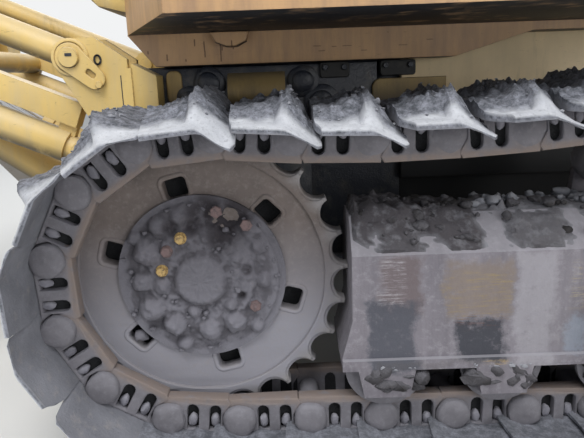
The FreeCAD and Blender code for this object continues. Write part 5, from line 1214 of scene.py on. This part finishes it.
class DOZER_OT_hull(bpy.types.Operator):
    """Castings and welded hull between the tracks, with the caps, plates and bolts on the case"""
    bl_idname = "dozer.hull"
    bl_label = "Hull and castings"

    def execute(self, context):
        for node, finish in (("steering_case", "grease"), ("final_drives", "grease"), ("engine", "grease"), ("radiator", "black"),
                             ("main_frame", "hull")):
            softened(node, 0.006, FINISH[finish], "tractor")
        x0 = SPROCKET.x
        for side, word in ((-1, "right"), (1, "left")):
            y = side * 0.490
            caps, plates, yellow, heads = [], [], [], []
            for x, z, r in ((-0.007, 1.050, 0.036), (-0.076, 0.996, 0.032), (0.313, 1.045, 0.036), (0.376, 0.975, 0.040)):
                shape = placed(cap_bolt(r, 0.030), side_matrix(x0 + x, z, y, 0.0, side))
                caps.append((shaken(shape[0], 0.004, 0.05, 8), shape[1], None))
            for x, z, w, h, thick in ((0.421, 1.080, 0.050, 0.026, 0.014), (0.636, 1.080, 0.060, 0.026, 0.008)):
                plates.append(placed(plate([rounded_quad(w, h, 0.010)], thick, 0.003, 2), side_matrix(x0 + x, z, y, 0.0, side)))
                for corner in (-1, 1):
                    heads.append(placed(hexagon_head(0.018, 0.010), side_matrix(x0 + x + corner * (w - 0.018), z + 0.008, y + side * thick, 0.2, side)))
            stub = arc_points(0.0, 0.0, 0.075, -30, 90, 10) + [(-0.02, 0.075), (-0.02, -0.06)]
            drum = swept(stub, [-0.097, 0.097])
            turn = Matrix(((0, 0, 1, x0 + 0.155), (side, 0, 0, y - side * 0.030), (0, 1, 0, 1.012), (0, 0, 0, 1)))
            yellow.append(placed(drum, turn))
            corner = [(0.20, -0.26), (0.20, 0.0)] + arc_points(-0.022, -0.030, 0.030, 90, 180, 6) + [(-0.052, -0.26)]
            yellow.append(placed(plate([corner], 0.012, 0.004, 2), side_matrix(x0 + 0.600, 1.046, y, 0.0, side)))
            yellow.append(placed(plate([rounded_quad(0.026, 0.055, 0.02)], 0.010, 0.004, 2), side_matrix(x0 - 0.125, 1.04, y, 0.0, side)))
            make_piece("case_caps_" + word, caps, FINISH["grease"], "tractor")
            make_piece("case_plates_" + word, plates, FINISH["black"], "tractor")
            make_piece("case_bolts_" + word, heads, FINISH["grease"], "tractor")
            make_piece("case_covers_" + word, yellow, FINISH["cover"], "tractor")
        return {"FINISHED"}


class DOZER_OT_bodywork(bpy.types.Operator):
    """Painted sheet bodywork: hood, nose, fenders, tank, cab and doors"""
    bl_idname = "dozer.bodywork"
    bl_label = "Bodywork"

    def execute(self, context):
        for node, width, finish in (("radiator_guard", 0.008, "enamel"), ("hood", 0.006, "enamel"), ("fenders", 0.012, "deck"), ("fuel_tank", 0.03, "enamel"),
                                    ("cab_shell", 0.008, "enamel"), ("cab_roof", 0.03, "enamel"), ("grille", 0.003, "black"), ("exhaust_stack", 0.004, "black"),
                                    ("pre_cleaner", 0.006, "black"), ("handrails", 0.002, "black"), ("work_lamps", 0.01, "lens"),
                                    ("console", 0.01, "plastic")):
            softened(node, width, FINISH[finish], "tractor")
        for word in ("right", "left"):
            softened("door_" + word, 0.006, FINISH["enamel"], "door_" + word)
            softened("door_glass_" + word, 0.001, FINISH["glass"], "door_" + word)
        lug = [(-0.060, 0.0), (0.060, 0.0), (0.052, -0.030), (0.020, -0.046), (-0.012, -0.046), (-0.046, -0.032)]
        for side, word in ((-1, "right"), (1, "left")):
            m = side_matrix(SPROCKET.x + 0.084, 1.206, side * 0.600, 0.0, side)
            make_piece("deck_lug_" + word, [placed(plate([lug], 0.035, 0.005, 2), m)], FINISH["deck"], "tractor")
        softened("cab_glass", 0.001, FINISH["glass"], "tractor")
        return {"FINISHED"}


class DOZER_OT_blade(bpy.types.Operator):
    """Blade, cutting edge, arms, struts and lift cylinders"""
    bl_idname = "dozer.blade"
    bl_label = "Blade and lift"

    def execute(self, context):
        softened("blade", 0.006, FINISH["enamel"], "blade")
        softened("cutting_edge", 0.004, FINISH["steel"], "blade")
        softened("push_arms", 0.012, FINISH["enamel"], "blade")
        softened("tilt_struts", 0.004, FINISH["enamel"], "blade")
        for word in ("right", "left"):
            softened("lift_barrel_" + word, 0.003, FINISH["enamel"], "lift_barrel_" + word)
            softened("lift_rod_" + word, 0.002, FINISH["chrome"], "lift_rod_" + word)
        return {"FINISHED"}


def paddle(r0, x1, z1, r1, steps=10):
    """Outline round two circles, the first at the origin."""
    lean = math.degrees(math.atan2(z1, x1))
    return arc_points(0.0, 0.0, r0, lean + 90, lean + 270, steps) + arc_points(x1, z1, r1, lean - 90, lean + 90, steps)


class DOZER_OT_ripper(bpy.types.Operator):
    """Rear bracket, links, arm, tool beam, shanks and cylinders, with the pin keepers on the cheeks"""
    bl_idname = "dozer.ripper"
    bl_label = "Ripper"

    def execute(self, context):
        softened("ripper_bracket", 0.005, FINISH["enamel"], "tractor")
        softened("upper_links", 0.004, FINISH["enamel"], "upper_links")
        softened("ripper_arm", 0.006, FINISH["enamel"], "ripper_arm")
        softened("ripper_beam", 0.01, FINISH["enamel"], "ripper_beam")
        softened("ripper_shanks", 0.006, FINISH["steel"], "ripper_beam")
        for word in ("right", "left"):
            softened("ripper_barrel_" + word, 0.003, FINISH["enamel"], "ripper_barrel_" + word)
            softened("ripper_rod_" + word, 0.002, FINISH["chrome"], "ripper_rod_" + word)
        for side, word in ((-1, "right"), (1, "left")):
            m = side_matrix(SPROCKET.x - 0.430, 1.146, side * 0.605, 0.0, side)
            window = moved_points(rounded_quad(0.016, 0.009, 0.006), 0.083, math.radians(-40))
            keeper = plate([paddle(0.046, 0.074, -0.070, 0.034), window], 0.006, 0.003, 2)
            ring = turned([(0.0, -0.002), (0.060, -0.002), (0.060, 0.004), (0.056, 0.007), (0.050, 0.007), (0.047, 0.004), (0.0, 0.004)], 40)
            cap = turned([(0.0, 0.0), (0.033, 0.0), (0.033, 0.020), (0.030, 0.024), (0.0, 0.024)], 32)
            slot = plate([rounded_quad(0.011, 0.005, 0.002)], 0.002, 0.0008)
            chunks = [placed(ring, m), placed(keeper, m @ Matrix.Translation((0, 0, 0.008))), placed(cap, m)]
            head = placed(hexagon_head(0.022, 0.010), m @ Matrix.Translation((0.088, -0.088, 0.013)))
            loop = [placed(turned([(0.003, -0.0016), (0.0036, 0.0), (0.003, 0.0016)], 8), m @ Matrix.Translation((0.087 + 0.010 * math.cos(a), -0.010 + 0.014 * math.sin(a), 0.004)))
                    for a in np.linspace(0, 5.8, 24)]
            make_piece("pin_keeper_" + word, chunks + [head], FINISH["enamel"], "tractor")
            make_piece("keeper_clip_" + word, loop + [placed(slot, m @ Matrix.Translation((0.002, 0.008, 0.0235)))], FINISH["grease"], "tractor")
            seam = plate([[(-0.0015, -0.17), (0.0015, -0.17), (0.0015, 0.0), (-0.0015, 0.0)]], 0.0012, 0.0004)
            make_piece("cheek_seam_" + word, [placed(seam, side_matrix(SPROCKET.x - 0.275, 1.085, side * 0.605, 0.0, side))], FINISH["grease"], "tractor")
        return {"FINISHED"}


class DOZER_OT_stage(bpy.types.Operator):
    """Pale floor, soft lights and the camera at the photograph's place"""
    bl_idname = "dozer.stage"
    bl_label = "Stage"

    def execute(self, context):
        place = context.scene.dozer_camera
        cy, sy = math.cos(place.yaw), math.sin(place.yaw)
        cp, sp = math.cos(place.pitch), math.sin(place.pitch)
        look = Vector((sy * cp, cy * cp, -sp))
        right = Vector((cy, -sy, 0))
        up = right.cross(look)
        cr, sr = math.cos(place.roll), math.sin(place.roll)
        right_r = right * cr + up * sr
        up_r = up * cr - right * sr
        data = bpy.data.cameras.new("camera")
        data.sensor_width = 36
        data.lens = place.focal
        data.clip_end = 200
        camera = bpy.data.objects.new("camera", data)
        spot = Vector((SPROCKET.x + place.ahead, -HALF_GAUGE - place.aside, SPROCKET.z + place.above))
        camera.matrix_world = Matrix(((right_r.x, up_r.x, -look.x, spot.x), (right_r.y, up_r.y, -look.y, spot.y),
                                      (right_r.z, up_r.z, -look.z, spot.z), (0, 0, 0, 1)))
        context.scene.collection.objects.link(camera)
        context.scene.camera = camera
        floor_mesh = bpy.data.meshes.new("floor")
        floor_mesh.from_pydata([(-40, -40, 0), (40, -40, 0), (40, 40, 0), (-40, 40, 0)], [], [(0, 1, 2, 3)])
        material, tree, shader, _ = new_material("pale_studio_floor")
        shader.inputs["Base Color"].default_value = linear("#DCDCDA")
        shader.inputs["Roughness"].default_value = 0.9
        floor_mesh.materials.append(material)
        floor = bpy.data.objects.new("floor", floor_mesh)
        context.scene.collection.objects.link(floor)
        self.light("key", (-1.8, -4.6, 7.6), (0, -0.6, 0.6), 4.5, 500)
        self.light("fill", (4.0, -7.0, 1.9), (0, -0.5, 1.0), 4.0, 200)
        self.light("back", (-1.5, 6.5, 5.5), (0, 0, 0.8), 5.0, 260)
        world = bpy.data.worlds.new("sky")
        context.scene.world = world
        world.use_nodes = True
        tree = world.node_tree
        tree.nodes.clear()
        path = add_node(tree, "ShaderNodeLightPath")
        seen = product(tree, path.outputs["Is Camera Ray"], path.outputs["Is Glossy Ray"], "ADD")
        seen = product(tree, seen, path.outputs["Is Transmission Ray"], "ADD")
        soft = add_node(tree, "ShaderNodeBackground", {"Color": linear("#E8ECF2"), "Strength": 0.55})
        plain = add_node(tree, "ShaderNodeBackground", {"Color": linear("#F2F3F4"), "Strength": 1.0})
        mix = add_node(tree, "ShaderNodeMixShader", links={0: seen, 1: soft.outputs[0], 2: plain.outputs[0]})
        add_node(tree, "ShaderNodeOutputWorld", links={0: mix.outputs[0]})
        context.scene.view_settings.view_transform = "Standard"
        return {"FINISHED"}

    def light(self, name, spot, aim, size, power):
        data = bpy.data.lights.new(name, "AREA")
        data.size = size
        data.energy = power
        lamp = bpy.data.objects.new(name, data)
        lamp.location = spot
        lamp.rotation_euler = (Vector(aim) - Vector(spot)).to_track_quat("-Z", "Y").to_euler()
        bpy.context.scene.collection.objects.link(lamp)


PIECE_OPERATORS = (DOZER_OT_chain, DOZER_OT_shoes, DOZER_OT_sprockets, DOZER_OT_running_gear, DOZER_OT_hull, DOZER_OT_bodywork, DOZER_OT_seat, DOZER_OT_blade,
                   DOZER_OT_ripper, DOZER_OT_stage)


class DOZER_PT_panel(bpy.types.Panel):
    bl_idname = "DOZER_PT_panel"
    bl_label = "Bulldozer"
    bl_space_type = "VIEW_3D"
    bl_region_type = "UI"
    bl_category = "Bulldozer"

    def draw(self, context):
        scene = context.scene
        for group in (scene.dozer_chain, scene.dozer_sprocket, scene.dozer_colours, scene.dozer_camera):
            column = self.layout.column()
            for key in group.bl_rna.properties.keys():
                if key not in ("rna_type", "name"):
                    column.prop(group, key)
        for operator in PIECE_OPERATORS:
            self.layout.operator(operator.bl_idname)


CLASSES = (ChainSizes, SprocketSizes, FinishColours, CameraPlace, *PIECE_OPERATORS, DOZER_PT_panel)


def register():
    for item in CLASSES:
        bpy.utils.register_class(item)
    bpy.types.Scene.dozer_chain = bpy.props.PointerProperty(type=ChainSizes)
    bpy.types.Scene.dozer_sprocket = bpy.props.PointerProperty(type=SprocketSizes)
    bpy.types.Scene.dozer_colours = bpy.props.PointerProperty(type=FinishColours)
    bpy.types.Scene.dozer_camera = bpy.props.PointerProperty(type=CameraPlace)


def unregister():
    for key in ("dozer_chain", "dozer_sprocket", "dozer_colours", "dozer_camera"):
        delattr(bpy.types.Scene, key)
    for item in reversed(CLASSES):
        bpy.utils.unregister_class(item)


def main():
    register()
    make_finishes()
    bpy.ops.dozer.stage()
    bpy.ops.dozer.chain()
    bpy.ops.dozer.shoes()
    bpy.ops.dozer.sprockets()
    bpy.ops.dozer.running_gear()
    bpy.ops.dozer.hull()
    bpy.ops.dozer.bodywork()
    bpy.ops.dozer.seat()
    bpy.ops.dozer.blade()
    bpy.ops.dozer.ripper()


if __name__ == "__main__":
    main()
